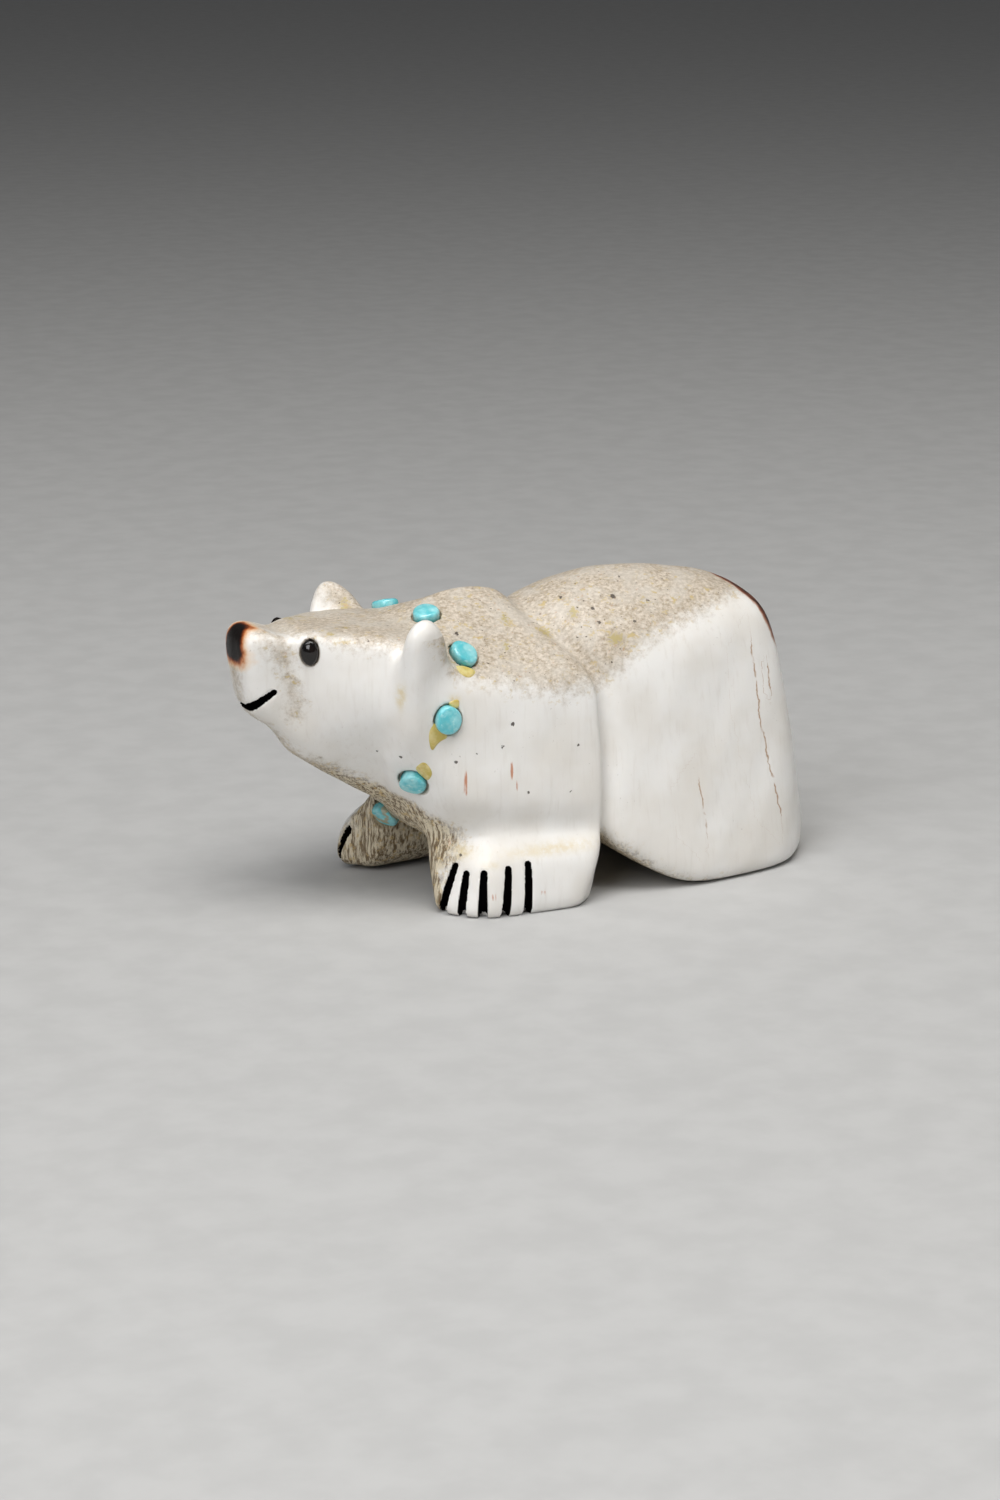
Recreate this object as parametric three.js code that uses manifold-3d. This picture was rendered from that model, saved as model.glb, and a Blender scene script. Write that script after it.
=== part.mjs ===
// A small bear carved in one piece from antler: two eyes of jet and a necklace of turquoise beads are let
// into it, and the mouth and the claws are cut in as grooves. Millimetres, +Z up. The bear looks along -X,
// its left flank is on the -Y side, and it stands on its two fore paws and its rump.
import * as THREE from 'three';
import Module from 'manifold-3d';

// Driving dimensions, in millimetres
const BODY_LENGTH = 72;          // nose to rump; the carving's proportions are shares of it
const INLAY_CLEARANCE = 0.3;     // glue line round and under every inlaid stone
const BEAD_LENGTH = 3.4;         // long way across a turquoise bead
const BEAD_WIDTH = 3.1;          // short way across it
const BEAD_DEPTH = 0.9;          // how far a bead is sunk in the antler
const BEAD_RISE = 0.75;          // how far its top stands out
const BEAD_EDGE = 0.42;          // rounding of its upper edge
const EYE_HEIGHT = 2.8;          // tall way of an eye
const EYE_WIDTH = 2.1;           // wide way of it
const EYE_DEPTH = 0.8;           // how far an eye is sunk
const EYE_RISE = 0.45;           // how far it stands out
const EYE_EDGE = 0.35;           // rounding of its upper edge
const CLAW_WIDTH = 0.96;         // width of a claw groove
const CLAW_DEPTH = 0.55;         // depth of it
const MOUTH_WIDTH = 0.85;        // width of the mouth groove
const MOUTH_DEPTH = 0.5;         // depth of it
const CUT_REACH = 1.4;           // how far every cutter reaches outside the surface that it cuts
const STONE_SIDES = 14;          // sides of an inlaid stone and of its socket

// The carving in hundredths of its length: x runs back from the ears, a runs out from the middle plane and z
// up. Each row is one cut face: a point on it (x, a, z), where it looks (turn from +x outwards, lift above
// level, in degrees), how much it bows level and upright, and a mark where its edges are rounded widely.
const UNIT = BODY_LENGTH / 100;
const BLOCKS = {
  rump: {
    edge: 1.35,
    faces: [
      [18.9, 18.6, 16.2, 91, 6.3, 0, 0],
      [32.3, 17, 16.2, 77, 8.9, 0, 0],
      [53.7, 0, 13.6, 0, 13.3, 0.0059, 0],
      [49.2, 12.6, 16.2, 38, 3.3, 0, 0],
      [18.2, 0, 49.3, 0, 90, 0.0118, 0.0055, 1],
      [24.3, 14.2, 39.9, 86, 43.5, 0, 0, 1],
      [48.1, 0, 42.8, 0, 52.9, 0, 0, 1],
      [4.4, 0, 45.4, 180, 64, 0, 0, 1],
      [6.6, 11, 40.3, 117, 28, 0, 0, 1],
      [11.6, 17.5, 21, 99, 5.5, 0, 0],
      [33.8, 0, -0.9, 0, -90, 0, 0],
      [23.2, 0, 0.6, 180, -56.4, 0, 0],
    ],
  },
  shoulder: {
    edge: 0.95,
    faces: [
      [0, 18.2, 21.6, 91, 4, 0.0022, 0],
      [0, 16.8, 12.5, 99, -38, 0, 0],
      [-4.5, 0, 48.9, 0, 90, 0.0133, 0.0368, 1],
      [0, 14.1, 38.6, 92, 50.8, 0, 0, 1],
      [12.3, 0, 38.6, 0, 36.7, 0, 0, 1],
      [12.9, 0, 18.9, 0, 1.9, 0, 0],
      [-17.7, 0, 17.7, 180, -8.4, 0, 0],
      [-16.7, 15.2, 20.3, 138, -6.2, 0, 0],
      [-15, 14.3, 16, 138, -38, 0, 0],
      [-16.5, 0, 11.6, 180, -45, 0, 0],
      [0, 0, 8.4, 0, -92, 0, 0],
    ],
  },
  head: {
    edge: 1.1,
    faces: [
      [-27, 0, 44.6, 0, 88, 0.003, 0],
      [-26.7, 0, 19.1, 180, -58, 0, 0],
      [-28, 11.1, 37.9, 118, 3.6, 0, 0],
      [-29.7, 10.4, 31.4, 117, -34, 0, 0],
      [-33, 8.5, 36.5, 141, -8, 0, 0],
      [-18.9, 16.5, 35.1, 84, 5, 0, 0],
      [-16.2, 16.5, 27.7, 92, -26, 0, 0],
      [-10.9, 11.9, 40.8, 62, 46.2, 0, 0],
      [-35.9, 0, 35.1, 180, 5, 0, 0],
      [0, 0, 32.4, 0, 0, 0, 0],
      [0, 0, 12.2, 0, -90, 0, 0],
    ],
  },
  snout: {
    edge: 1.05,
    faces: [
      [-43.8, 0, 40.8, 180, -6.4, 0.0089, 0],
      [-40.5, 5.2, 40.9, 95, -7.9, 0, 0],
      [-42, 0, 45.95, 0, 71.5, 0, 0],
      [-42.5, 0, 31.7, 180, -59.6, 0, 0],
      [-29.7, 0, 40.5, 0, 0, 0, 0],
      [-43.5, 0, 45.6, 180, 46, 0.02, 0],
    ],
  },
  leftEar: {
    edge: 0.9,
    faces: [
      [-22.7, 16.2, 41, 158, -6.5, 0, 0],
      [-14.4, 14, 37.9, -22, 12.4, 0, 0],
      [-18.9, 18, 40.5, 76, -9.6, 0.0148, 0],
      [-19.3, 15.9, 48, 0, 90, 0.2, 0.2],
      [-19.3, 14.1, 42.2, 248, 17.3, -0.0222, 0],
      [-18.3, 11.2, 20.8, 121, -38, 0, 0],
      [-18.9, 12.2, 17, 0, -90, 0, 0],
    ],
  },
  rightEar: {
    edge: 0.9,
    faces: [
      [-24.7, 16.4, 41, 158, -6.5, 0, 0],
      [-24.1, 15.6, 45.5, 158, 24, 0, 0],
      [-14.6, 13.7, 38.1, -22, 5, 0, 0],
      [-17.2, 14.5, 45.5, -22, 44, 0, 0],
      [-20.1, 17.4, 40.6, 76, -9.7, 0.0148, 0],
      [-20.9, 15.9, 47.9, 0, 90, 0.08, 0.08],
      [-20.4, 14.1, 42.2, 248, 18.3, -0.0222, 0],
      [-18.6, 11.2, 20.8, 121, -38, 0, 0],
      [-20.3, 12.2, 17, 0, -90, 0, 0],
    ],
  },
  leftLeg: {
    edge: 0.81,
    faces: [
      [-2.7, 16.8, 10.8, 91, 2.9, 0, 0],
      [-15.3, 12.2, 10.8, 180, 3.9, 0, 0],
      [-10.9, 13.3, 10.7, 138, 2.7, 0, 0],
      [-2.7, 7.8, 8.1, -90, -12.1, 0, 0],
      [11.3, 12.2, 8.3, 0, -9.8, 0, 0],
      [0, 12.2, -0.9, 0, -90, 0, 0],
      [0, 12.2, 17.6, 0, 90, 0, 0],
    ],
  },
  leftPaw: {
    edge: 0.95,
    faces: [
      [-1.4, 20.5, 4.1, 91, 3.1, 0, 0],
      [-16.3, 12.2, 2.7, 180, 11.9, 0, 0],
      [-13.4, 16.4, 3.3, 140, 11.9, 0, 0],
      [0, 19.5, 9.1, 91, 48, 0, 0],
      [-12.6, 14.6, 9.7, 140, 50, 0, 0],
      [-2.7, 11.3, 3.1, -90, -12.1, 0, 0],
      [8.4, 12.2, 2.9, 0, -20.2, 0, 0],
      [0, 12.2, -0.9, 0, -90, 0, 0],
      [0, 12.2, 12.5, 0, 90, 0, 0],
    ],
  },
  rightLeg: {
    edge: 0.81,
    faces: [
      [-4.1, 17, 10.8, 91, 3, 0, 0],
      [-16.4, 12.2, 10.8, 180, 4, 0, 0],
      [-12.9, 13.9, 10.8, 138, 4, 0, 0],
      [-4.1, 7.7, 8.1, -90, -12, 0, 0],
      [10.9, 12.2, 8.1, 0, -9, 0, 0],
      [-1.4, 12.2, -2.6, 0, -90, 0, 0],
      [-1.4, 12.2, 17.6, 0, 90, 0, 0],
      [-10.8, 11.5, 1.2, -80, -72, 0, 0],
    ],
  },
  rightPaw: {
    edge: 0.65,
    faces: [
      [-4.9, 20.4, 4.1, 91, 3, 0, 0],
      [-20.2, 12.2, 2.8, 180, 11.8, 0, 0],
      [-18.6, 17.8, 3.8, 140, 11.8, 0, 0],
      [-3.5, 19.5, 9.1, 91, 48, 0, 0],
      [-16.1, 14.6, 9.7, 140, 50.5, 0, 0],
      [-6.2, 11.2, 3.1, -90, -12.1, 0, 0],
      [5.3, 12.2, 2.7, 0, -20, 0, 0],
      [-3.5, 12.2, -2.6, 0, -90, 0, 0],
      [-3.5, 12.2, 12.2, 0, 90, 0, 0],
      [-10.8, 11.5, 1.2, -80, -72, 0, 0],
      [-20.2, 14.1, 3, 232, 0, 0, 0],
      [-19.8, 14, 0.5, 172, -42, 0, 0],
    ],
  },
};
const WIDE_EDGE = 1.9;           // rounding where the back and its shoulders turn down
const FILLETS = { neck: 3.4, snout: 2.8, ear: 2.2, paw: 3.5, leg: 1.6, rump: 1.1 };
// The groove between shoulder and rump runs up the flank, then sweeps forward over the back
const CREASE = { x: 11.6, middle: 20, bow: 0.0035, sweep: 6.6, bend: 40.3, soft: 1.8 };
const CREASE_CUT = { depth: 0.9, ahead: 0.55, behind: 2.2, wideFrom: 34, shallow: 0.5 };
const RUMP_AHEAD = 0.7;          // how far the rump starts ahead of that groove, under the shoulder
const GROUND = -0.7;             // height of the soles

// Seats on the surface, aimed at from inside or outside, in the same hundredths
const BEAD_SEATS = [
  [-14.2, 8.2, 43.2], [-13.2, -4.7, 45.1], [-10.8, -13.2, 40.4], [-15.3, -17.1, 31.4], [-18.6, -11.5, 20.6],
  [-15.2, 6.8, 9.9], [-18.4, 11.8, 20.1], [-15.7, 17.2, 29.9], [-11.8, 14.4, 39.2],
];
const BEAD_TURNS = [95, 80, 120, 100, 177, 145, 15, 95, 60];  // how each bead is turned in its seat, degrees
const BEAD_LOOKS = { 5: [-0.5, -0.64, -0.58], 6: [-0.7, -0.4, -0.59], 7: [-0.5, 0.68, -0.54] };  // set askew
const EYE_SEATS = [[-33.9, -7.1, 41.7], [-33.6, 7.5, 42.4]];   // the left one and the right one
// The mouth runs from the cheek to the front of the snout
const MOUTH = [[-38.8, 4.6, 35.5], [-41.2, 3.8, 33.8], [-42.2, 1.7, 32.7], [-42.4, 0, 32.5]];
const CLAWS = [
  { top: [-13.2, 14.9, 7.1], foot: [-15.1, 14.3, 0.3] },
  { top: [-12.1, 16.7, 6.2], foot: [-13.1, 17.1, 0.2] },
  { top: [-10, 18.7, 6.5], foot: [-10.6, 19.4, 0.4] },
  { top: [-6.3, 19.8, 7], foot: [-6.9, 20.3, 0.3] },
  { top: [-2.9, 19.9, 7.4], foot: [-3.2, 20.3, 0] },
];
const RIGHT_PAW_AHEAD = 4.6;     // the right paw is set further forward
const RIGHT_FIRST_CLAW = { top: [-14.3, 13.7, 6.4], foot: [-15.2, 15.9, 0.6] };   // it slants outwards

// Grid lines of the carved surface, [from, to, largest step] in hundredths, finest at the head and the crease
const GRID_X = [[-48, -12, 2.12], [-12, 10.5, 2.5], [10.5, 14.7, 1.4], [14.7, 50, 4], [50, 60, 2.6]];
const GRID_Y = [[-25, 25, 2.28]];
const GRID_Z = [[-6.2, 30, 2.42], [30, 53, 2.1]];

// The carved form
const radians = Math.PI / 180;
const planes = {};
for (const [name, block] of Object.entries(BLOCKS)) {
  planes[name] = block.faces.map(([x, a, z, turn, lift, bowLevel, bowUp, wide]) => {
    const [ct, st] = [Math.cos(turn * radians), Math.sin(turn * radians)];
    const [cl, sl] = [Math.cos(lift * radians), Math.sin(lift * radians)];
    return { x, a, z, nx: ct * cl, na: st * cl, nz: sl, lx: -st, la: ct, ux: -ct * sl, ua: -st * sl, uz: cl,
      bowLevel, bowUp, wide: Boolean(wide) };
  });
}

function faceValue(p, x, a, z) {
  const dx = x - p.x;
  const da = a - p.a;
  const dz = z - p.z;
  const level = dx * p.lx + da * p.la;
  const up = dx * p.ux + da * p.ua + dz * p.uz;
  return dx * p.nx + da * p.na + dz * p.nz + p.bowLevel * level * level + p.bowUp * up * up;
}

// Faces cut one after another, with their edges sanded round
function sanded(values, edge) {
  let most = -Infinity;
  for (const v of values) most = Math.max(most, v);
  let sum = 0;
  for (const v of values) sum += Math.exp((v - most) / edge);
  return most + edge * Math.log(sum);
}

function blockValue(name, x, a, z) {
  const wide = [];
  const rest = [];
  for (const p of planes[name]) (p.wide ? wide : rest).push(faceValue(p, x, a, z));
  if (wide.length) rest.push(sanded(wide, WIDE_EDGE));
  return sanded(rest, BLOCKS[name].edge);
}

// Two masses that run into each other through a hollow of the given breadth
function joined(a, b, fillet) {
  const h = Math.max(fillet - Math.abs(a - b), 0) / fillet;
  return Math.min(a, b) - (h * h * fillet) / 4;
}

function creaseAt(z) {
  const overBack = CREASE.sweep / (1 + Math.exp((CREASE.bend - z) / CREASE.soft));
  return CREASE.x - CREASE.bow * (z - CREASE.middle) ** 2 - overBack;
}

// Steep on the shoulder's side, where the saw went in, and long on the rump's side
function creaseCut(x, z) {
  const t = x - creaseAt(z);
  const above = z - CREASE_CUT.wideFrom;
  const ahead = CREASE_CUT.ahead * (1 + Math.min(Math.max(above / 5, 0), 1));
  const depth = CREASE_CUT.depth * (1 - CREASE_CUT.shallow * Math.min(Math.max(above / 8, 0), 1));
  return depth * Math.exp(-((t / (t < 0 ? ahead : CREASE_CUT.behind)) ** 2));
}

// Below zero inside the carving, above zero outside it, roughly a distance
function form(x, y, z) {
  const a = Math.abs(y);
  let d = joined(blockValue('head', x, a, z), blockValue('shoulder', x, a, z), FILLETS.neck);
  d = joined(d, blockValue('snout', x, a, z), FILLETS.snout);
  d = joined(d, blockValue('leftEar', x, -y, z), FILLETS.ear);
  d = joined(d, blockValue('rightEar', x, y, z), FILLETS.ear);
  const left = joined(blockValue('leftLeg', x, -y, z), blockValue('leftPaw', x, -y, z), FILLETS.paw);
  const right = joined(blockValue('rightLeg', x, y, z), blockValue('rightPaw', x, y, z), FILLETS.paw);
  d = joined(joined(d, left, FILLETS.leg), right, FILLETS.leg);
  const rump = Math.max(blockValue('rump', x, a, z), creaseAt(z) - RUMP_AHEAD - x);
  return joined(d, rump, FILLETS.rump) + creaseCut(x, z);
}

function outward(p) {
  const e = 0.03;
  return new THREE.Vector3(
    form(p.x + e, p.y, p.z) - form(p.x - e, p.y, p.z),
    form(p.x, p.y + e, p.z) - form(p.x, p.y - e, p.z),
    form(p.x, p.y, p.z + e) - form(p.x, p.y, p.z - e),
  ).divideScalar(2 * e);
}

// Moves a point along the slope of the form until it lies on the surface
function onSurface(p, furthest) {
  const q = p.clone();
  for (let i = 0; i < 8; i++) {
    const g = outward(q);
    q.addScaledVector(g, -form(q.x, q.y, q.z) / Math.max(g.lengthSq(), 0.1));
  }
  const moved = q.clone().sub(p);
  if (moved.length() > furthest) q.copy(p).addScaledVector(moved, furthest / moved.length());
  return q;
}

function gridLines(runs) {
  const lines = [runs[0][0]];
  for (const [from, to, step] of runs) {
    const n = Math.ceil((to - from) / step);
    for (let i = 1; i <= n; i++) lines.push(from + ((to - from) * i) / n);
  }
  return lines;
}

// Where two masses meet only across the diagonal of a grid square, one of the hollows between them is filled
function fillDiagonals(value, at, [nx, ny, nz]) {
  const squares = [[[1, 0, 0], [0, 1, 0]], [[0, 1, 0], [0, 0, 1]], [[0, 0, 1], [1, 0, 0]]];
  let filled = 1;
  for (let pass = 0; pass < 6 && filled; pass++) {
    filled = 0;
    for (let i = 0; i < nx - 1; i++) {
      for (let j = 0; j < ny - 1; j++) {
        for (let k = 0; k < nz - 1; k++) {
          for (const [u, v] of squares) {
            const ends = [
              at(i, j, k),
              at(i + u[0], j + u[1], k + u[2]),
              at(i + u[0] + v[0], j + u[1] + v[1], k + u[2] + v[2]),
              at(i + v[0], j + v[1], k + v[2]),
            ];
            const [a, b, c, d] = ends.map((n) => value[n] < 0);
            if (a !== c || b !== d || a === b) continue;
            const open = ends.filter((n) => value[n] >= 0).sort((m, n) => value[m] - value[n]);
            value[open[0]] = -1e-3;
            filled++;
          }
        }
      }
    }
  }
}

// One net over the whole surface: a point in each grid cell that the surface crosses, drawn on to the surface
function carvedSurface() {
  const [gx, gy, gz] = [gridLines(GRID_X), gridLines(GRID_Y), gridLines(GRID_Z)];
  const [nx, ny, nz] = [gx.length, gy.length, gz.length];
  const at = (i, j, k) => (i * ny + j) * nz + k;
  const value = new Float64Array(nx * ny * nz);
  for (let i = 0; i < nx; i++) {
    for (let j = 0; j < ny; j++) {
      for (let k = 0; k < nz; k++) value[at(i, j, k)] = form(gx[i], gy[j], gz[k]);
    }
  }
  fillDiagonals(value, at, [nx, ny, nz]);
  const vertexOf = new Map();
  const vertices = [];
  for (let i = 0; i < nx - 1; i++) {
    for (let j = 0; j < ny - 1; j++) {
      for (let k = 0; k < nz - 1; k++) {
        const mean = new THREE.Vector3();
        let crossings = 0;
        const corner = (c) => [i + (c & 1), j + ((c >> 1) & 1), k + ((c >> 2) & 1)];
        for (let c = 0; c < 8; c++) {
          for (const bit of [1, 2, 4]) {
            if (c & bit) continue;
            const [p, q] = [corner(c), corner(c | bit)];
            const [vp, vq] = [value[at(...p)], value[at(...q)]];
            if (vp < 0 === vq < 0) continue;
            const t = vp / (vp - vq);
            mean.x += gx[p[0]] + (gx[q[0]] - gx[p[0]]) * t;
            mean.y += gy[p[1]] + (gy[q[1]] - gy[p[1]]) * t;
            mean.z += gz[p[2]] + (gz[q[2]] - gz[p[2]]) * t;
            crossings++;
          }
        }
        if (!crossings) continue;
        vertexOf.set(at(i, j, k), vertices.length);
        vertices.push(onSurface(mean.divideScalar(crossings), 1.1));
      }
    }
  }
  const triangles = [];
  const addQuad = (a, b, c, d, flip) => {
    const v = [a, b, c, d].map((cell) => vertexOf.get(cell));
    if (flip) v.reverse();
    const p = v.map((n) => vertices[n]);
    if (p[0].distanceTo(p[2]) <= p[1].distanceTo(p[3])) triangles.push(v[0], v[1], v[2], v[0], v[2], v[3]);
    else triangles.push(v[0], v[1], v[3], v[1], v[2], v[3]);
  };
  for (let i = 1; i < nx - 1; i++) {
    for (let j = 1; j < ny - 1; j++) {
      for (let k = 1; k < nz - 1; k++) {
        const inside = value[at(i, j, k)] < 0;
        if (inside !== value[at(i + 1, j, k)] < 0) {
          addQuad(at(i, j - 1, k - 1), at(i, j, k - 1), at(i, j, k), at(i, j - 1, k), !inside);
        }
        if (inside !== value[at(i, j + 1, k)] < 0) {
          addQuad(at(i - 1, j, k - 1), at(i - 1, j, k), at(i, j, k), at(i, j, k - 1), !inside);
        }
        if (inside !== value[at(i, j, k + 1)] < 0) {
          addQuad(at(i - 1, j - 1, k), at(i, j - 1, k), at(i, j, k), at(i - 1, j, k), !inside);
        }
      }
    }
  }
  const geometry = new THREE.BufferGeometry();
  const places = vertices.flatMap((v) => [v.x, v.y, v.z]);
  geometry.setAttribute('position', new THREE.Float32BufferAttribute(places, 3));
  geometry.setIndex(triangles);
  return geometry.scale(UNIT, UNIT, UNIT);
}

// Solids that join and cut
const wasm = await Module();
wasm.setup();

function solid(geometry) {
  const position = geometry.getAttribute('position');
  const source = geometry.index ? geometry.index.array : Array.from({ length: position.count }, (_, n) => n);
  const seen = new Map();
  const points = [];
  const same = Array.from({ length: position.count }, (_, n) => {
    const p = [position.getX(n), position.getY(n), position.getZ(n)];
    const key = p.map((c) => Math.round(c * 1e5)).join();
    if (!seen.has(key)) {
      seen.set(key, points.length / 3);
      points.push(...p);
    }
    return seen.get(key);
  });
  const triangles = [];
  for (let n = 0; n < source.length; n += 3) {
    const [a, b, c] = [same[source[n]], same[source[n + 1]], same[source[n + 2]]];
    if (a !== b && b !== c && c !== a) triangles.push(a, b, c);
  }
  return new wasm.Manifold(new wasm.Mesh({
    numProp: 3, vertProperties: new Float32Array(points), triVerts: new Uint32Array(triangles),
  }));
}

function geometryOf(manifold) {
  const mesh = manifold.getMesh();
  const geometry = new THREE.BufferGeometry();
  geometry.setAttribute('position', new THREE.Float32BufferAttribute(mesh.vertProperties, 3));
  geometry.setIndex(new THREE.Uint32BufferAttribute(mesh.triVerts, 1));
  geometry.computeVertexNormals();
  return geometry;
}

// A seat: a point of the surface in millimetres, with its outward axis and two axes across it
function seatAt(aim, turn = 0, looks = null) {
  const point = onSurface(new THREE.Vector3(...aim), 6);
  const out = (looks ? new THREE.Vector3(...looks) : outward(point)).normalize();
  const across = new THREE.Vector3(0, 0, 1).cross(out).normalize();
  across.applyAxisAngle(out, turn * radians);
  const up = out.clone().cross(across);
  return { point: point.multiplyScalar(UNIT), out, across, up };
}

function placed(geometry, seat) {
  const frame = new THREE.Matrix4().makeBasis(seat.across, seat.up, seat.out).setPosition(seat.point);
  return geometry.applyMatrix4(frame);
}

// An oval stone: a straight side below, a rounded upper edge and a slightly domed top
function stone(width, height, depth, rise, edge) {
  const radius = width / 2;
  const profile = [
    new THREE.Vector2(0, -depth),
    new THREE.Vector2(radius, -depth),
    new THREE.Vector2(radius, rise - edge),
  ];
  const turned = 52 * radians;
  const shoulder = rise - edge * (1 - Math.sin(turned)) - 0.04;
  profile.push(new THREE.Vector2(radius - edge * (1 - Math.cos(turned)), shoulder));
  profile.push(new THREE.Vector2(0, rise));
  return new THREE.LatheGeometry(profile, STONE_SIDES).rotateX(Math.PI / 2).scale(1, height / width, 1);
}

// The socket for that stone, open outwards
function socket(width, height, depth) {
  const [w, h] = [width / 2 + INLAY_CLEARANCE, height / 2 + INLAY_CLEARANCE];
  const bottom = depth + INLAY_CLEARANCE;
  const geometry = new THREE.CylinderGeometry(w, w, bottom + CUT_REACH, STONE_SIDES);
  return geometry.rotateX(Math.PI / 2).scale(1, h / w, 1).translate(0, 0, (CUT_REACH - bottom) / 2);
}

// A groove from one point of the surface to another, round at both ends
function groove(from, to, out, width, depth) {
  const along = to.clone().sub(from);
  const length = along.length();
  along.normalize();
  const away = out.clone().addScaledVector(along, -out.dot(along)).normalize();
  const across = along.clone().cross(away);
  const shape = new THREE.Shape();
  const r = width / 2;
  shape.absarc(0, 0, r, Math.PI, 2 * Math.PI, false);
  shape.absarc(0, length, r, 0, Math.PI, false);
  const cut = { depth: depth + CUT_REACH, bevelEnabled: false, curveSegments: 3 };
  const geometry = new THREE.ExtrudeGeometry(shape, cut);
  geometry.translate(0, 0, -depth);
  const frame = new THREE.Matrix4().makeBasis(across, along, away).setPosition(from);
  return geometry.applyMatrix4(frame);
}

// The stones and their seats
const beads = BEAD_SEATS.map((aim, n) => ({
  name: `turquoise_bead_${String(n + 1).padStart(2, '0')}`,
  seat: seatAt(aim, BEAD_TURNS[n], BEAD_LOOKS[n + 1]),
}));
const eyes = ['eye_left', 'eye_right'].map((name, n) => ({ name, seat: seatAt(EYE_SEATS[n]) }));

// The body: carved, cut level at the soles, then socketed and grooved
let body = solid(carvedSurface());
const floor = new THREE.BoxGeometry(3 * BODY_LENGTH, 2 * BODY_LENGTH, BODY_LENGTH);
body = body.subtract(solid(floor.translate(0, 0, GROUND * UNIT - BODY_LENGTH / 2)));
for (const { seat } of beads) {
  body = body.subtract(solid(placed(socket(BEAD_LENGTH, BEAD_WIDTH, BEAD_DEPTH), seat)));
}
for (const { seat } of eyes) {
  body = body.subtract(solid(placed(socket(EYE_WIDTH, EYE_HEIGHT, EYE_DEPTH), seat)));
}
for (const side of [-1, 1]) {
  const ahead = side > 0 ? RIGHT_PAW_AHEAD : 0;
  const first = side > 0 ? RIGHT_FIRST_CLAW : CLAWS[0];
  for (const { top, foot } of [first, ...CLAWS.slice(1)]) {
    const from = onSurface(new THREE.Vector3(top[0] - ahead, top[1] * side, top[2]), 4);
    const to = onSurface(new THREE.Vector3(foot[0] - ahead, foot[1] * side, foot[2]), 4);
    const out = outward(from.clone().lerp(to, 0.4));
    to.lerp(from, -0.25);
    const clawCut = groove(from.multiplyScalar(UNIT), to.multiplyScalar(UNIT), out, CLAW_WIDTH, CLAW_DEPTH);
    body = body.subtract(solid(clawCut));
  }
}
for (const side of [-1, 1]) {
  const lip = MOUTH.map(([x, a, z]) => onSurface(new THREE.Vector3(x, a * side, z), 3));
  for (let n = 1; n < lip.length; n++) {
    const [from, to] = [lip[n - 1].clone(), lip[n].clone()];
    const out = outward(from.clone().lerp(to, 0.5));
    const mouthCut = groove(from.multiplyScalar(UNIT), to.multiplyScalar(UNIT), out, MOUTH_WIDTH, MOUTH_DEPTH);
    body = body.subtract(solid(mouthCut));
  }
}

// Materials
const antler = { color: 0xe9e1d2, roughness: 0.34, metalness: 0 };
const turquoise = { color: 0x4fb3b5, roughness: 0.22, metalness: 0 };
const jet = { color: 0x0b0909, roughness: 0.12, metalness: 0 };

const bear = new THREE.Group();

function addPiece(name, geometry, look) {
  const mesh = new THREE.Mesh(geometry, new THREE.MeshStandardMaterial(look));
  mesh.name = name;
  bear.add(mesh);
}

addPiece('bear_body', geometryOf(body), antler);
for (const { name, seat } of beads) {
  const bead = placed(stone(BEAD_LENGTH, BEAD_WIDTH, BEAD_DEPTH, BEAD_RISE, BEAD_EDGE), seat);
  addPiece(name, geometryOf(solid(bead)), turquoise);
}
for (const { name, seat } of eyes) {
  const eye = placed(stone(EYE_WIDTH, EYE_HEIGHT, EYE_DEPTH, EYE_RISE, EYE_EDGE), seat);
  addPiece(name, geometryOf(solid(eye)), jet);
}

// The origin lies under the middle of the whole bear, on the surface that it stands on
const box = new THREE.Box3().setFromObject(bear);
const centre = box.getCenter(new THREE.Vector3());
for (const mesh of bear.children) mesh.geometry.translate(-centre.x, -centre.y, -box.min.z);

export default bear;
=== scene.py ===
import math

import bmesh
import bpy
import numpy as np
from mathutils import Matrix, Vector


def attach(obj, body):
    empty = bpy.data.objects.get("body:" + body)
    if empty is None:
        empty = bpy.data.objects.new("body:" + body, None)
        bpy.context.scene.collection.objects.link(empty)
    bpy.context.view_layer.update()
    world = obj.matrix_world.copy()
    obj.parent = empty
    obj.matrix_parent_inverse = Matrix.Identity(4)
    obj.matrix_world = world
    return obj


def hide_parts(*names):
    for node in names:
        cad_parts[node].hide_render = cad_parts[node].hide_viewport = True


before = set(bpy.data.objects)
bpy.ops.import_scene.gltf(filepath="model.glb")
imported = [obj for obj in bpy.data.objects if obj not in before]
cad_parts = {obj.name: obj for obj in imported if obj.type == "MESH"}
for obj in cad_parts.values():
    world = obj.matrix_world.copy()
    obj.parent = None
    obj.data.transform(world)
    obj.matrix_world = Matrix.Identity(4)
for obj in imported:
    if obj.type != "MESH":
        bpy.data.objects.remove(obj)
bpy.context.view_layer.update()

# Sizes
MM = 0.001
BODY_LENGTH = 72.0
UNIT = BODY_LENGTH / 100
BEAD_LENGTH = 3.4
BEAD_WIDTH = 3.1
BEAD_DEPTH = 0.9
BEAD_RISE = 0.75
BEAD_EDGE = 0.42
BEAD_DOME = 0.10
EYE_HEIGHT = 2.8
EYE_WIDTH = 2.1
EYE_DEPTH = 0.8
EYE_RISE = 0.33
EYE_EDGE = 0.3
EYE_DOME = 0.24
BEAD_GAP = 0.09
EYE_GAP = 0.04
SEAT_DEPTH = 0.45
CLAW_WIDTH = 0.96
CLAW_DEPTH = 0.55
CLAW_REACH = 1.6
MOUTH_WIDTH = 0.85
MOUTH_DEPTH = 0.5
MOUTH_REACH = 1.2

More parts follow.
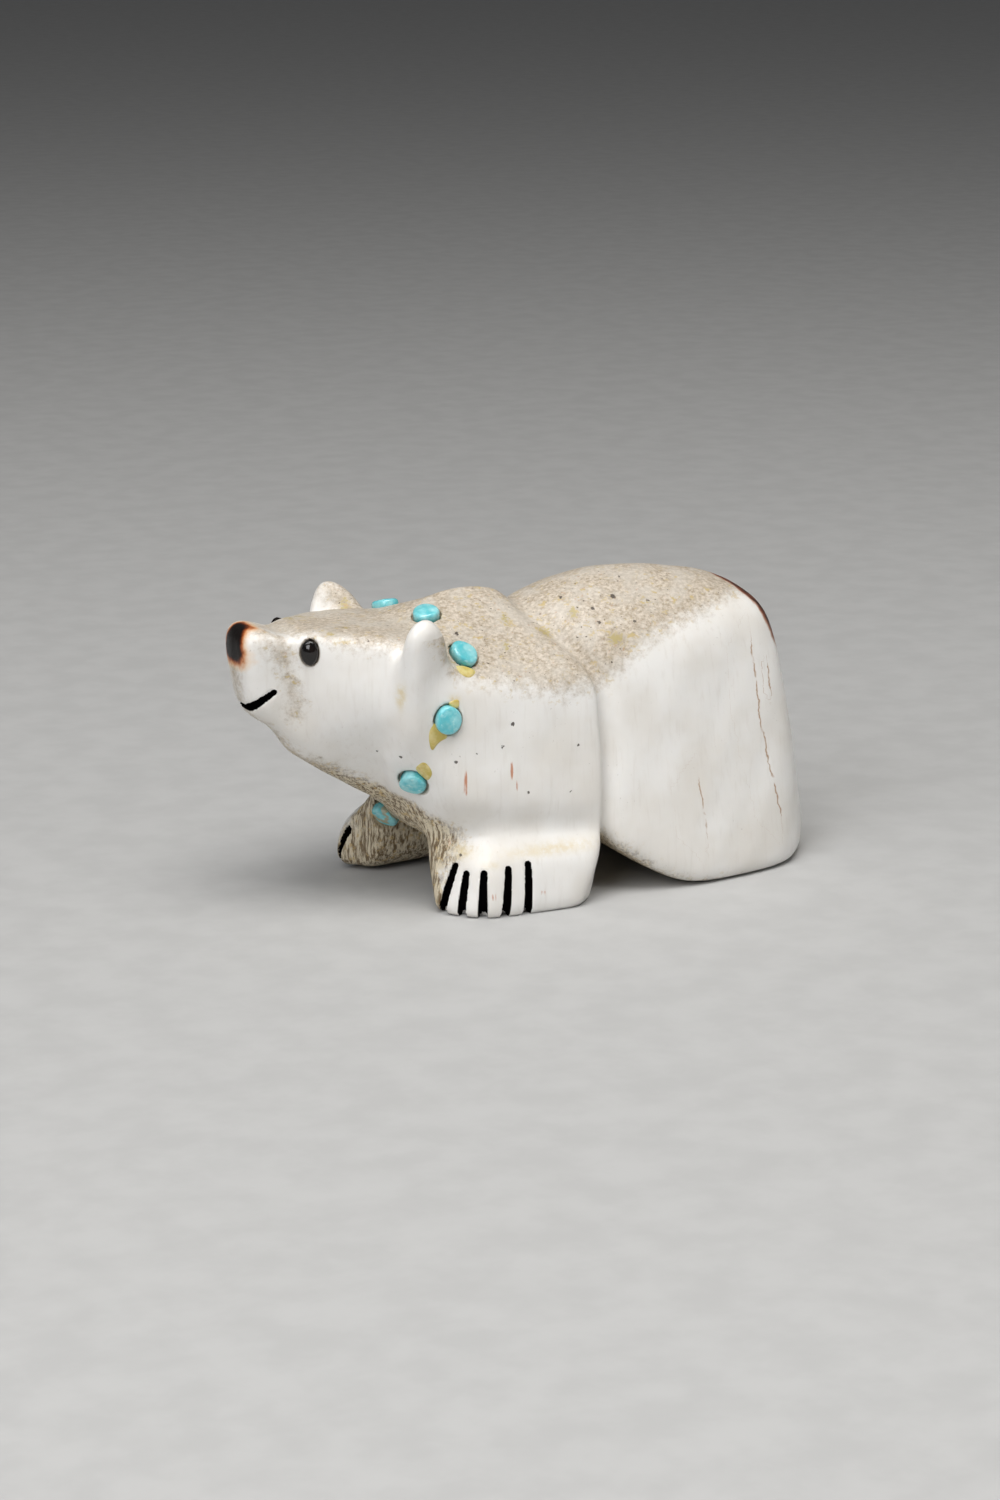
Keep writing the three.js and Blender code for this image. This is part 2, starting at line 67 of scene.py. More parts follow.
# The cut faces of the carving, in blocks that each give the rounding of their edges first. A row is a point
# on the face (x, a, z), where it looks (turn, lift), how much it bows level and upright, and whether its
# edges are rounded widely. a runs out from the middle plane.
BLOCKS = {
    "rump": (1.35, [
        (18.9, 18.6, 16.2, 91, 6.3, 0, 0, 0),
        (32.3, 17, 16.2, 77, 8.9, 0, 0, 0),
        (53.7, 0, 13.6, 0, 13.3, 0.0059, 0, 0),
        (49.2, 12.6, 16.2, 38, 3.3, 0, 0, 0),
        (18.2, 0, 49.3, 0, 90, 0.0118, 0.0055, 1),
        (24.3, 14.2, 39.9, 86, 43.5, 0, 0, 1),
        (48.1, 0, 42.8, 0, 52.9, 0, 0, 1),
        (4.4, 0, 45.4, 180, 64, 0, 0, 1),
        (6.6, 11, 40.3, 117, 28, 0, 0, 1),
        (11.6, 17.5, 21, 99, 5.5, 0, 0, 0),
        (33.8, 0, -0.9, 0, -90, 0, 0, 0),
        (23.2, 0, 0.6, 180, -56.4, 0, 0, 0),
    ]),
    "shoulder": (0.95, [
        (0, 18.2, 21.6, 91, 4, 0.0022, 0, 0),
        (0, 16.8, 12.5, 99, -38, 0, 0, 0),
        (-4.5, 0, 48.9, 0, 90, 0.0133, 0.0368, 1),
        (0, 14.1, 38.6, 92, 50.8, 0, 0, 1),
        (12.3, 0, 38.6, 0, 36.7, 0, 0, 1),
        (12.9, 0, 18.9, 0, 1.9, 0, 0, 0),
        (-17.7, 0, 17.7, 180, -8.4, 0, 0, 0),
        (-16.7, 15.2, 20.3, 138, -6.2, 0, 0, 0),
        (-15, 14.3, 16, 138, -38, 0, 0, 0),
        (-16.5, 0, 11.6, 180, -45, 0, 0, 0),
        (0, 0, 8.4, 0, -92, 0, 0, 0),
    ]),
    "head": (1.1, [
        (-27, 0, 44.6, 0, 88, 0.003, 0, 0),
        (-26.7, 0, 19.1, 180, -58, 0, 0, 0),
        (-28, 11.1, 37.9, 118, 3.6, 0, 0, 0),
        (-29.7, 10.4, 31.4, 117, -34, 0, 0, 0),
        (-33, 8.5, 36.5, 141, -8, 0, 0, 0),
        (-18.9, 16.5, 35.1, 84, 5, 0, 0, 0),
        (-16.2, 16.5, 27.7, 92, -26, 0, 0, 0),
        (-10.9, 11.9, 40.8, 62, 46.2, 0, 0, 0),
        (-35.9, 0, 35.1, 180, 5, 0, 0, 0),
        (0, 0, 32.4, 0, 0, 0, 0, 0),
        (0, 0, 12.2, 0, -90, 0, 0, 0),
    ]),
    "snout": (1.05, [
        (-43.8, 0, 40.8, 180, -6.4, 0.0089, 0, 0),
        (-40.5, 5.2, 40.9, 95, -7.9, 0, 0, 0),
        (-42, 0, 45.95, 0, 71.5, 0, 0, 0),
        (-42.5, 0, 31.7, 180, -59.6, 0, 0, 0),
        (-29.7, 0, 40.5, 0, 0, 0, 0, 0),
        (-43.5, 0, 45.6, 180, 46, 0.02, 0, 0),
    ]),
    "left_ear": (0.9, [
        (-22.7, 16.2, 41, 158, -6.5, 0, 0, 0),
        (-14.4, 14, 37.9, -22, 12.4, 0, 0, 0),
        (-18.9, 18, 40.5, 76, -9.6, 0.0148, 0, 0),
        (-19.3, 15.9, 48, 0, 90, 0.2, 0.2, 0),
        (-19.3, 14.1, 42.2, 248, 17.3, -0.0222, 0, 0),
        (-18.3, 11.2, 20.8, 121, -38, 0, 0, 0),
        (-18.9, 12.2, 17, 0, -90, 0, 0, 0),
    ]),
    "right_ear": (0.9, [
        (-24.7, 16.4, 41, 158, -6.5, 0, 0, 0),
        (-24.1, 15.6, 45.5, 158, 24, 0, 0, 0),
        (-14.6, 13.7, 38.1, -22, 5, 0, 0, 0),
        (-17.2, 14.5, 45.5, -22, 44, 0, 0, 0),
        (-20.1, 17.4, 40.6, 76, -9.7, 0.0148, 0, 0),
        (-20.9, 15.9, 47.9, 0, 90, 0.08, 0.08, 0),
        (-20.4, 14.1, 42.2, 248, 18.3, -0.0222, 0, 0),
        (-18.6, 11.2, 20.8, 121, -38, 0, 0, 0),
        (-20.3, 12.2, 17, 0, -90, 0, 0, 0),
    ]),
    "left_leg": (0.81, [
        (-2.7, 16.8, 10.8, 91, 2.9, 0, 0, 0),
        (-15.3, 12.2, 10.8, 180, 3.9, 0, 0, 0),
        (-10.9, 13.3, 10.7, 138, 2.7, 0, 0, 0),
        (-2.7, 7.8, 8.1, -90, -12.1, 0, 0, 0),
        (11.3, 12.2, 8.3, 0, -9.8, 0, 0, 0),
        (0, 12.2, -0.9, 0, -90, 0, 0, 0),
        (0, 12.2, 17.6, 0, 90, 0, 0, 0),
    ]),
    "left_paw": (0.95, [
        (-1.4, 20.5, 4.1, 91, 3.1, 0, 0, 0),
        (-16.3, 12.2, 2.7, 180, 11.9, 0, 0, 0),
        (-13.4, 16.4, 3.3, 140, 11.9, 0, 0, 0),
        (0, 19.5, 9.1, 91, 48, 0, 0, 0),
        (-12.6, 14.6, 9.7, 140, 50, 0, 0, 0),
        (-2.7, 11.3, 3.1, -90, -12.1, 0, 0, 0),
        (8.4, 12.2, 2.9, 0, -20.2, 0, 0, 0),
        (0, 12.2, -0.9, 0, -90, 0, 0, 0),
        (0, 12.2, 12.5, 0, 90, 0, 0, 0),
    ]),
    "right_leg": (0.81, [
        (-4.1, 17, 10.8, 91, 3, 0, 0, 0),
        (-16.4, 12.2, 10.8, 180, 4, 0, 0, 0),
        (-12.9, 13.9, 10.8, 138, 4, 0, 0, 0),
        (-4.1, 7.7, 8.1, -90, -12, 0, 0, 0),
        (10.9, 12.2, 8.1, 0, -9, 0, 0, 0),
        (-1.4, 12.2, -2.6, 0, -90, 0, 0, 0),
        (-1.4, 12.2, 17.6, 0, 90, 0, 0, 0),
        (-10.8, 11.5, 1.2, -80, -72, 0, 0, 0),
    ]),
    "right_paw": (0.65, [
        (-4.9, 20.4, 4.1, 91, 3, 0, 0, 0),
        (-20.2, 12.2, 2.8, 180, 11.8, 0, 0, 0),
        (-18.6, 17.8, 3.8, 140, 11.8, 0, 0, 0),
        (-3.5, 19.5, 9.1, 91, 48, 0, 0, 0),
        (-16.1, 14.6, 9.7, 140, 50.5, 0, 0, 0),
        (-6.2, 11.2, 3.1, -90, -12.1, 0, 0, 0),
        (5.3, 12.2, 2.7, 0, -20, 0, 0, 0),
        (-3.5, 12.2, -2.6, 0, -90, 0, 0, 0),
        (-3.5, 12.2, 12.2, 0, 90, 0, 0, 0),
        (-10.8, 11.5, 1.2, -80, -72, 0, 0, 0),
        (-20.2, 14.1, 3, 232, 0, 0, 0, 0),
        (-19.8, 14, 0.5, 172, -42, 0, 0, 0),
    ]),
}
WIDE_EDGE = 1.9
FILLETS = {"neck": 3.4, "snout": 2.8, "ear": 2.2, "paw": 3.5, "leg": 1.6, "rump": 1.1}
CREASE = {"x": 11.6, "middle": 20, "bow": 0.0035, "sweep": 6.6, "bend": 40.3, "soft": 1.8}
CREASE_CUT = {"depth": 0.9, "ahead": 0.55, "behind": 2.2, "wide_from": 34, "shallow": 0.5}
RUMP_AHEAD = 0.7
GROUND = -0.7

# Where the stones sit, and which way a stone looks where it doesn't look straight out of the surface
BEADS = [
    {"aim": (-14.2, 8.2, 43.2), "turn": 95},
    {"aim": (-13.2, -4.7, 45.1), "turn": 80},
    {"aim": (-10.8, -13.2, 40.4), "turn": 120},
    {"aim": (-15.3, -17.1, 31.4), "turn": 100},
    {"aim": (-18.6, -11.5, 20.6), "turn": 177, "looks": (-0.5, -0.64, -0.58)},
    {"aim": (-15.2, 6.8, 9.9), "turn": 145, "looks": (-0.7, -0.4, -0.59)},
    {"aim": (-18.4, 11.8, 20.1), "turn": 15, "looks": (-0.5, 0.68, -0.54)},
    {"aim": (-15.7, 17.2, 29.9), "turn": 95},
    {"aim": (-11.8, 14.4, 39.2), "turn": 60},
]
EYE_SEATS = [(-33.9, -7.1, 41.7), (-33.6, 7.5, 42.4)]
MOUTH = [(-38.8, 4.6, 35.5), (-41.2, 3.8, 33.8), (-42.2, 1.7, 32.7), (-42.4, 0, 32.5)]
MOUTH_TAPER = (0.7, 1.05)
CLAW_TAPER = (0.72, 1.06)
CLAWS = [
    ((-13.2, 14.9, 7.1), (-15.1, 14.3, 0.3)),
    ((-12.1, 16.7, 6.2), (-13.1, 17.1, 0.2)),
    ((-10, 18.7, 6.5), (-10.6, 19.4, 0.4)),
    ((-6.3, 19.8, 7), (-6.9, 20.3, 0.3)),
    ((-2.9, 19.9, 7.4), (-3.2, 20.3, 0)),
]
RIGHT_PAW_AHEAD = 4.6
RIGHT_FIRST_CLAW = ((-14.3, 13.7, 6.4), (-15.2, 15.9, 0.6))


# The carved form
def face_plane(row):
    x, a, z, turn, lift, bow_level, bow_up, wide = row
    t = math.radians(turn)
    f = math.radians(lift)
    out = (math.cos(t) * math.cos(f), math.sin(t) * math.cos(f), math.sin(f))
    level = (-math.sin(t), math.cos(t))
    up = (-math.cos(t) * math.sin(f), -math.sin(t) * math.sin(f), math.cos(f))
    return (x, a, z), out, level, up, bow_level, bow_up, wide


PLANES = {name: (edge, [face_plane(row) for row in rows]) for name, (edge, rows) in BLOCKS.items()}


def face_value(plane, x, a, z):
    point, out, level, up, bow_level, bow_up, _ = plane
    dx = x - point[0]
    da = a - point[1]
    dz = z - point[2]
    value = dx * out[0] + da * out[1] + dz * out[2]
    if bow_level:
        value = value + bow_level * (dx * level[0] + da * level[1]) ** 2
    if bow_up:
        value = value + bow_up * (dx * up[0] + da * up[1] + dz * up[2]) ** 2
    return value


def sanded(values, edge):
    most = np.maximum.reduce(values)
    total = sum(np.exp((v - most) / edge) for v in values)
    return most + edge * np.log(total)


def block_value(name, x, a, z):
    edge, planes = PLANES[name]
    wide = [face_value(p, x, a, z) for p in planes if p[6]]
    rest = [face_value(p, x, a, z) for p in planes if not p[6]]
    if wide:
        rest.append(sanded(wide, WIDE_EDGE))
    return sanded(rest, edge)


def joined(a, b, fillet):
    h = np.maximum(fillet - np.abs(a - b), 0) / fillet
    return np.minimum(a, b) - h * h * fillet / 4


def crease_at(z):
    over_back = CREASE["sweep"] / (1 + np.exp((CREASE["bend"] - z) / CREASE["soft"]))
    return CREASE["x"] - CREASE["bow"] * (z - CREASE["middle"]) ** 2 - over_back


# Steep on the shoulder's side, where the saw went in, and long on the rump's side
def crease_cut(x, z):
    t = x - crease_at(z)
    ahead = CREASE_CUT["ahead"] * (1 + np.clip((z - CREASE_CUT["wide_from"]) / 5, 0, 1))
    on_back = np.clip((z - CREASE_CUT["wide_from"]) / 8, 0, 1)
    depth = CREASE_CUT["depth"] * (1 - CREASE_CUT["shallow"] * on_back)
    return depth * np.exp(-((t / np.where(t < 0, ahead, CREASE_CUT["behind"])) ** 2))


def form(x, y, z):
    a = np.abs(y)
    d = joined(block_value("head", x, a, z), block_value("shoulder", x, a, z), FILLETS["neck"])
    d = joined(d, block_value("snout", x, a, z), FILLETS["snout"])
    d = joined(d, block_value("left_ear", x, -y, z), FILLETS["ear"])
    d = joined(d, block_value("right_ear", x, y, z), FILLETS["ear"])
    left = joined(block_value("left_leg", x, -y, z), block_value("left_paw", x, -y, z), FILLETS["paw"])
    right = joined(block_value("right_leg", x, y, z), block_value("right_paw", x, y, z), FILLETS["paw"])
    d = joined(joined(d, left, FILLETS["leg"]), right, FILLETS["leg"])
    rump = np.maximum(block_value("rump", x, a, z), crease_at(z) - RUMP_AHEAD - x)
    d = joined(d, rump, FILLETS["rump"])
    return np.maximum(d + crease_cut(x, z), GROUND - z)


def slope(field, p, e=0.03):
    columns = []
    for axis in range(3):
        step = np.zeros(3)
        step[axis] = e
        columns.append((field(p + step) - field(p - step)) / (2 * e))
    return np.stack(columns, -1)


def bare(p):
    return form(p[:, 0], p[:, 1], p[:, 2])


def on_surface(point):
    p = np.array([point], float)
    for _ in range(8):
        g = slope(bare, p)
        p = p - g * (bare(p) / np.maximum((g * g).sum(-1), 0.1))[:, None]
    return p[0]


def outward(point):
    g = slope(bare, np.array([point], float))[0]
    return g / np.linalg.norm(g)


# Seats of the stones
def seat(aim, turn=0, looks=None):
    point = on_surface(aim)
    out = outward(point) if looks is None else np.array(looks) / np.linalg.norm(looks)
    across = np.cross((0, 0, 1), out)
    across = across / np.linalg.norm(across)
    up = np.cross(out, across)
    t = math.radians(turn)
    turned = across * math.cos(t) + up * math.sin(t)
    return {"point": point, "out": out, "across": turned, "up": np.cross(out, turned)}


bead_seats = [seat(bead["aim"], bead["turn"], bead.get("looks")) for bead in BEADS]
eye_seats = [seat(aim) for aim in EYE_SEATS]


# Grooves: each runs from one point of the surface to another and is cut in one direction
def groove(start, end, away, width, depth, reach, narrow=(1, 1)):
    along = end - start
    length = np.linalg.norm(along)
    along = along / length
    away = away - along * (away @ along)
    away = away / np.linalg.norm(away)
    return {"start": start, "along": along, "away": away, "length": length, "half": width / 2 / UNIT,
            "depth": depth / UNIT, "reach": reach / UNIT, "narrow": narrow}


def groove_distance(cut, p):
    q = p - cut["start"]
    t = np.clip(q @ cut["along"], 0, cut["length"])
    height = q @ cut["away"]
    flat = q - t[:, None] * cut["along"] - height[:, None] * cut["away"]
    first, last = cut["narrow"]
    half = cut["half"] * np.interp(t / cut["length"], (0, 0.5, 1), (first, (first + last) / 2, last))
    return np.linalg.norm(flat, axis=-1) - half, np.abs(height)


grooves = []
for side in (-1, 1):
    ahead = RIGHT_PAW_AHEAD if side > 0 else 0
    first = RIGHT_FIRST_CLAW if side > 0 else CLAWS[0]
    for top, foot in [first] + CLAWS[1:]:
        upper = on_surface((top[0] - ahead, top[1] * side, top[2]))
        lower = on_surface((foot[0] - ahead, foot[1] * side, foot[2]))
        away = outward(upper * 0.6 + lower * 0.4)
        under_paw = lower + (lower - upper) * 0.25
        grooves.append(groove(upper, under_paw, away, CLAW_WIDTH, CLAW_DEPTH, CLAW_REACH, CLAW_TAPER))
for side in (-1, 1):
    lip = [on_surface((x, a * side, z)) for x, a, z in MOUTH]
    for _ in range(2):
        halves = [on_surface((start + end) / 2) for start, end in zip(lip[:-1], lip[1:])]
        lip = [point for pair in zip(lip[:-1], halves) for point in pair] + [lip[-1]]
    widths = np.interp(np.arange(len(lip)), (0, 5), MOUTH_TAPER)
    for start, end, narrow in zip(lip[:-1], lip[1:], zip(widths[:-1], widths[1:])):
        away = outward((start + end) / 2)
        grooves.append(groove(start, end, away, MOUTH_WIDTH, MOUTH_DEPTH, MOUTH_REACH, narrow))


def stone_distance(place, half_long, half_short, p):
    q = p - place["point"]
    u = q @ place["across"]
    v = q @ place["up"]
    height = q @ place["out"]
    k = half_long / half_short
    return np.sqrt(u * u + (v * k) ** 2 + 1e-9) - half_long, height


STONES = [(place, BEAD_LENGTH / 2, BEAD_WIDTH / 2, BEAD_GAP) for place in bead_seats]
STONES += [(place, EYE_WIDTH / 2, EYE_HEIGHT / 2, EYE_GAP) for place in eye_seats]


# Slight unevenness that filing by hand leaves, in hundredths of the length
def hand_work(x, y, z):
    broad = np.sin(x * 0.31 + 1.3) * np.sin(y * 0.37 + 0.4) * np.sin(z * 0.33 + 2.1)
    near = np.sin(x * 0.71 + y * 0.35) * np.sin(z * 0.63 - y * 0.5 + 0.7)
    return 0.10 * broad + 0.045 * near


def filed(p):
    return bare(p) + hand_work(p[:, 0], p[:, 1], p[:, 2]) * np.clip((p[:, 2] - GROUND) / 3, 0, 1)


def carving(p):
    d = filed(p)
    uncut = d.copy()
    for cut in grooves:
        middle = cut["start"] + cut["along"] * cut["length"] / 2
        close = np.nonzero(((p - middle) ** 2).sum(-1) < (cut["length"] / 2 + 4) ** 2)[0]
        if not len(close):
            continue
        r, height = groove_distance(cut, p[close])
        inside = np.minimum(np.minimum(-r, uncut[close] + cut["depth"]), cut["reach"] - height)
        d[close] = soft_top(d[close], inside, 0.10)
    for place, half_long, half_short, gap in STONES:
        close = np.nonzero(((p - place["point"]) ** 2).sum(-1) < 5.0 ** 2)[0]
        if not len(close):
            continue
        r, height = stone_distance(place, (half_long + gap) / UNIT, (half_short + gap) / UNIT, p[close])
        inside = np.minimum(np.minimum(-r, uncut[close] + SEAT_DEPTH / UNIT), 2.4 - np.abs(height))
        d[close] = soft_top(d[close], inside, 0.10)
    return d


def soft_top(a, b, k):
    h = np.maximum(k - np.abs(a - b), 0) / k
    return np.maximum(a, b) + h * h * k / 4


# The net over the carved surface
def lines(*runs):
    points = [runs[0][0]]
    for start, end, step in runs:
        n = math.ceil((end - start) / step)
        points.extend(start + (end - start) * i / n for i in range(1, n + 1))
    return np.array(points)


COARSE = 1.0
GRID = (
    lines((-46.5, -1, 0.36 * COARSE), (-1, 58, 0.6 * COARSE)),
    lines((-23, 23, 0.45 * COARSE)),
    lines((-2.9, 9, 0.4 * COARSE), (9, 30, 0.52 * COARSE), (30, 51.5, 0.4 * COARSE)),
)


def sampled(grid):
    coarse = [np.append(axis[::4], axis[-1]) for axis in grid]
    gx, gy, gz = np.meshgrid(*coarse, indexing="ij")
    rough = form(gx.ravel(), gy.ravel(), gz.ravel()).reshape(gx.shape)
    where = [np.minimum(np.arange(len(axis)) // 4, len(c) - 2) for axis, c in zip(grid, coarse)]
    nearest = np.full(rough.shape, np.inf)[:-1, :-1, :-1]
    signed = rough[:-1, :-1, :-1]
    for i in (0, 1):
        for j in (0, 1):
            for k in (0, 1):
                part = rough[i:rough.shape[0] - 1 + i, j:rough.shape[1] - 1 + j, k:rough.shape[2] - 1 + k]
                nearest = np.minimum(nearest, np.abs(part))
    cell = np.ix_(*where)
    value = signed[cell].copy()
    wanted = np.argwhere(nearest[cell] < 3.2 * COARSE)
    for part in np.array_split(wanted, max(1, len(wanted) // 150000)):
        p = np.stack([grid[axis][part[:, axis]] for axis in range(3)], -1)
        value[part[:, 0], part[:, 1], part[:, 2]] = carving(p)
    return value


def fill_diagonals(value):
    squares = (((1, 0, 0), (0, 1, 0)), ((0, 1, 0), (0, 0, 1)), ((0, 0, 1), (1, 0, 0)))
    for _ in range(6):
        filled = 0
        for u, v in squares:
            ends = [(0, 0, 0), u, tuple(np.add(u, v)), v]
            spans = [n - 1 for n in value.shape]
            views = [value[i:i + spans[0], j:j + spans[1], k:k + spans[2]] for i, j, k in ends]
            a, b, c, d = [view < 0 for view in views]
            for n in np.argwhere((a == c) & (b == d) & (a != b)):
                spots = [tuple(n + np.array(end)) for end in ends]
                hollow = [spot for spot in spots if value[spot] >= 0]
                if len(hollow) == 2:
                    value[min(hollow, key=lambda spot: value[spot])] = -1e-4
                    filled += 1
        if not filled:
            break
    return value


def surface_net(grid, value):
    inside = value < 0
    shape = tuple(n - 1 for n in value.shape)
    corners = [(i, j, k) for i in (0, 1) for j in (0, 1) for k in (0, 1)]
    count = sum(inside[i:i + shape[0], j:j + shape[1], k:k + shape[2]].astype(int) for i, j, k in corners)
    cells = np.argwhere((count > 0) & (count < 8))
    number = np.full(shape, -1)
    number[cells[:, 0], cells[:, 1], cells[:, 2]] = np.arange(len(cells))
    total = np.zeros((len(cells), 3))
    crossings = np.zeros(len(cells))
    for first in corners:
        for axis in range(3):
            if first[axis]:
                continue
            second = list(first)
            second[axis] = 1
            p = cells + np.array(first)
            q = cells + np.array(second)
            vp = value[p[:, 0], p[:, 1], p[:, 2]]
            vq = value[q[:, 0], q[:, 1], q[:, 2]]
            cross = (vp < 0) != (vq < 0)
            t = np.where(cross, vp / np.where(cross, vp - vq, 1), 0)
            at_p = np.stack([grid[n][p[:, n]] for n in range(3)], -1)
            at_q = np.stack([grid[n][q[:, n]] for n in range(3)], -1)
            total += np.where(cross[:, None], at_p + (at_q - at_p) * t[:, None], 0)
            crossings += cross
    quads = []
    for axis in range(3):
        u, v = (axis + 1) % 3, (axis + 2) % 3
        ahead = np.roll(inside, -1, axis)
        change = inside != ahead
        change[tuple(slice(None) if n != axis else slice(-1, None) for n in range(3))] = False
        edges = np.argwhere(change)
        edges = edges[(edges[:, u] > 0) & (edges[:, v] > 0)]
        edges = edges[(edges[:, u] < shape[u]) & (edges[:, v] < shape[v])]
        ring = []
        for du, dv in ((-1, -1), (0, -1), (0, 0), (-1, 0)):
            cell = edges.copy()
            cell[:, u] += du
            cell[:, v] += dv
            ring.append(number[cell[:, 0], cell[:, 1], cell[:, 2]])
        ring = np.stack(ring, -1)
        flip = ~inside[edges[:, 0], edges[:, 1], edges[:, 2]]
        ring[flip] = ring[flip][:, ::-1]
        quads.append(ring)
    return total / crossings[:, None], np.concatenate(quads)


def drawn_on(p):
    start = p.copy()
    g = slope(carving, p)
    for turn in range(3):
        p = p - g * (carving(p) / np.maximum((g * g).sum(-1), 0.15))[:, None]
        if turn == 0:
            g = slope(carving, p)
    moved = p - start
    far = np.linalg.norm(moved, axis=-1, keepdims=True)
    return start + moved * np.minimum(1, 0.45 * COARSE / np.maximum(far, 1e-9))


value = fill_diagonals(sampled(GRID))
points, quads = surface_net(GRID, value)
points = drawn_on(points)
points[:, 2] = np.maximum(points[:, 2], GROUND)
low = points.min(0)
high = points.max(0)
SHIFT = np.array((-(low[0] + high[0]) / 2, -(low[1] + high[1]) / 2, -GROUND)) * UNIT * MM


def placed(p):
    return np.asarray(p) * UNIT * MM + SHIFT


def mesh_object(name, coordinates, faces, material, smooth_under=40):
    mesh = bpy.data.meshes.new(name)
    mesh.from_pydata([tuple(c) for c in coordinates], [], [tuple(f) for f in faces])
    mesh.update()
    mesh.shade_smooth()
    mesh.set_sharp_from_angle(angle=math.radians(smooth_under))
    mesh.materials.append(material)
    piece = bpy.data.objects.new(name, mesh)
    bpy.context.scene.collection.objects.link(piece)
    return piece


# Marks on the carved surface, kept on its points as lengths in millimetres
def between(x, table):
    knots = np.array(table, float)
    return [np.interp(x, knots[:, 0], knots[:, n]) for n in range(1, knots.shape[1])]


# Where the porous marrow ends: (x, a, z) along back, throat and underside, and (z, a) on the inner legs
BACK_EDGE = [
    (-44, 0, 46), (-40, 1.5, 45.2), (-36, 4.3, 44.2), (-34, 6, 44.4), (-30, 9.8, 43.9),
    (-21.6, 13.5, 43.1), (-14.6, 16.2, 39.3), (-9.3, 16, 36.8), (-2.8, 16.7, 35.4), (3.8, 17.2, 34),
    (9.2, 17, 34.2), (11.8, 15.4, 34.4), (15.2, 15.5, 36.4), (19.5, 14.2, 38.9), (23.7, 13, 40.4),
    (32.2, 10.6, 42.3), (41.9, 6.3, 44.1), (47, 2, 44), (52, 0, 42),
]
THROAT_EDGE = [
    (-42, 0, 27), (-36, 1.2, 25.4), (-30.6, 3.6, 22.9), (-24.9, 4, 20), (-20, 5.2, 16.4), (-14, 9.5, 12.6),
]
LEG_EDGE = [(-1, 13), (6.1, 13.2), (8.4, 14.6), (11.5, 13.6), (14.3, 12), (17, 8.5), (20, 5)]
UNDER_EDGE = [
    (10, 15.5, 9.2), (12.8, 16.2, 8.3), (17.5, 17.6, 5), (24, 17, 1.2), (34, 15.5, 0.4), (50, 9, 0.4),
]


def marrow_reach(x, y, z):
    a = np.abs(y)
    back_a, back_z = between(x, BACK_EDGE)
    back = (z - back_z + back_a - a) * 0.5
    inner_face = np.where(y > 0, 16.8, 14.6)
    ear = np.minimum(inner_face - a, x + np.where(y > 0, 21.6, 23)) * 0.72
    on_ear = (z > 44.6) & (a > 10.5)
    back = np.where(on_ear, ear, back)
    throat_a, throat_z = between(x, THROAT_EDGE)
    throat = np.where(x < -15, (throat_z - z + throat_a - a) * 0.5, -5)
    leg_a, = between(z, LEG_EDGE)
    leg = np.where(x < 14, (leg_a - a) * 0.72 - np.clip(z - 15, 0, 9) * 0.3, -5)
    under_a, under_z = between(x, UNDER_EDGE)
    under = np.where(x > 10, (under_z - z + under_a - a) * 0.5, -5)
    p = np.stack([x, -a, z], -1)
    speckled = 0.4 + np.clip((z - 38) * 0.12, 0, 0.6) - line_distance(p, [SPECKLED_BAND])
    return np.clip(np.maximum.reduce([back, throat, leg, under, speckled]), -6, 6)


def blob_sum(p, blobs):
    total = np.zeros(len(p))
    for x, y, z, rx, ry, rz, amount in blobs:
        q = ((p[:, 0] - x) / rx) ** 2 + ((p[:, 1] - y) / ry) ** 2 + ((p[:, 2] - z) / rz) ** 2
        total += amount * np.exp(-q)
    return total


def line_distance(p, runs):
    least = np.full(len(p), 4.0)
    for run in runs:
        for start, end in zip(run[:-1], run[1:]):
            start = np.array(start)
            along = np.array(end) - start
            q = p - start
            t = np.clip(q @ along / (along @ along), 0, 1)
            least = np.minimum(least, np.linalg.norm(q - t[:, None] * along, axis=-1) * UNIT)
    return least


# How far a point lies behind a crack in the left flank, or ahead of it below zero, in millimetres
def crack_offset(p):
    x, y, z = p.T
    nearest = np.full(len(p), 4.0)
    for run in CRACKS:
        heights, places = zip(*sorted((z_end, x_end) for x_end, z_end in run))
        offset = (x - np.interp(z, heights, places)) * UNIT
        past_end = np.maximum(np.maximum(z - heights[-1], heights[0] - z), 0) * UNIT
        offset = offset + np.where(offset < 0, -past_end, past_end)
        nearest = np.where((np.abs(offset) < np.abs(nearest)) & (y < 0), offset, nearest)
    return nearest


# A band of specks runs from the forehead down between snout and cheek
SPECKLED_BAND = [
    (-40, -3.2, 44.8), (-37.6, -5.5, 41.5), (-36.4, -5.2, 37.3), (-35.6, -5.5, 34.1), (-36, -4.7, 31.6),
]
# Rust streaks, amber stains and ochre patches: middle (x, y, z), half lengths along x, y and z, and amount
RUST = [
    (-12.5, -17.4, 21.6, 0.3, 2, 1.6, 1), (-12.7, -17.3, 19.5, 0.4, 2, 0.8, 0.8),
    (-4.8, -18, 22.2, 0.28, 2, 1.7, 1.2), (-4.1, -18.2, 19.8, 0.6, 2, 0.9, 0.7),
    (3.9, -18.4, 18.7, 0.45, 2, 2.6, 0.35), (-9.1, -20, 2.8, 0.5, 2, 0.9, 0.9),
    (-0.8, -20.5, 2.8, 0.35, 2, 0.6, 0.9), (-15.4, -11.3, 8.6, 0.6, 2, 1.6, 0.8),
    (-13.4, -13.6, 10.8, 0.7, 1.2, 1.2, 0.9),
]
AMBER = [
    (-22.4, -15.5, 35.4, 0.5, 2, 1.9, 0.9), (2, -19, 9.2, 8, 3, 0.9, 0.6),
    (-12.2, -15.1, 9.4, 1.6, 1.6, 1.2, 0.9), (-14.2, -17.1, 34.6, 0.8, 1.5, 0.6, 0.9),
    (-9, -19.6, 7.7, 1.2, 2, 0.5, 0.5),
]
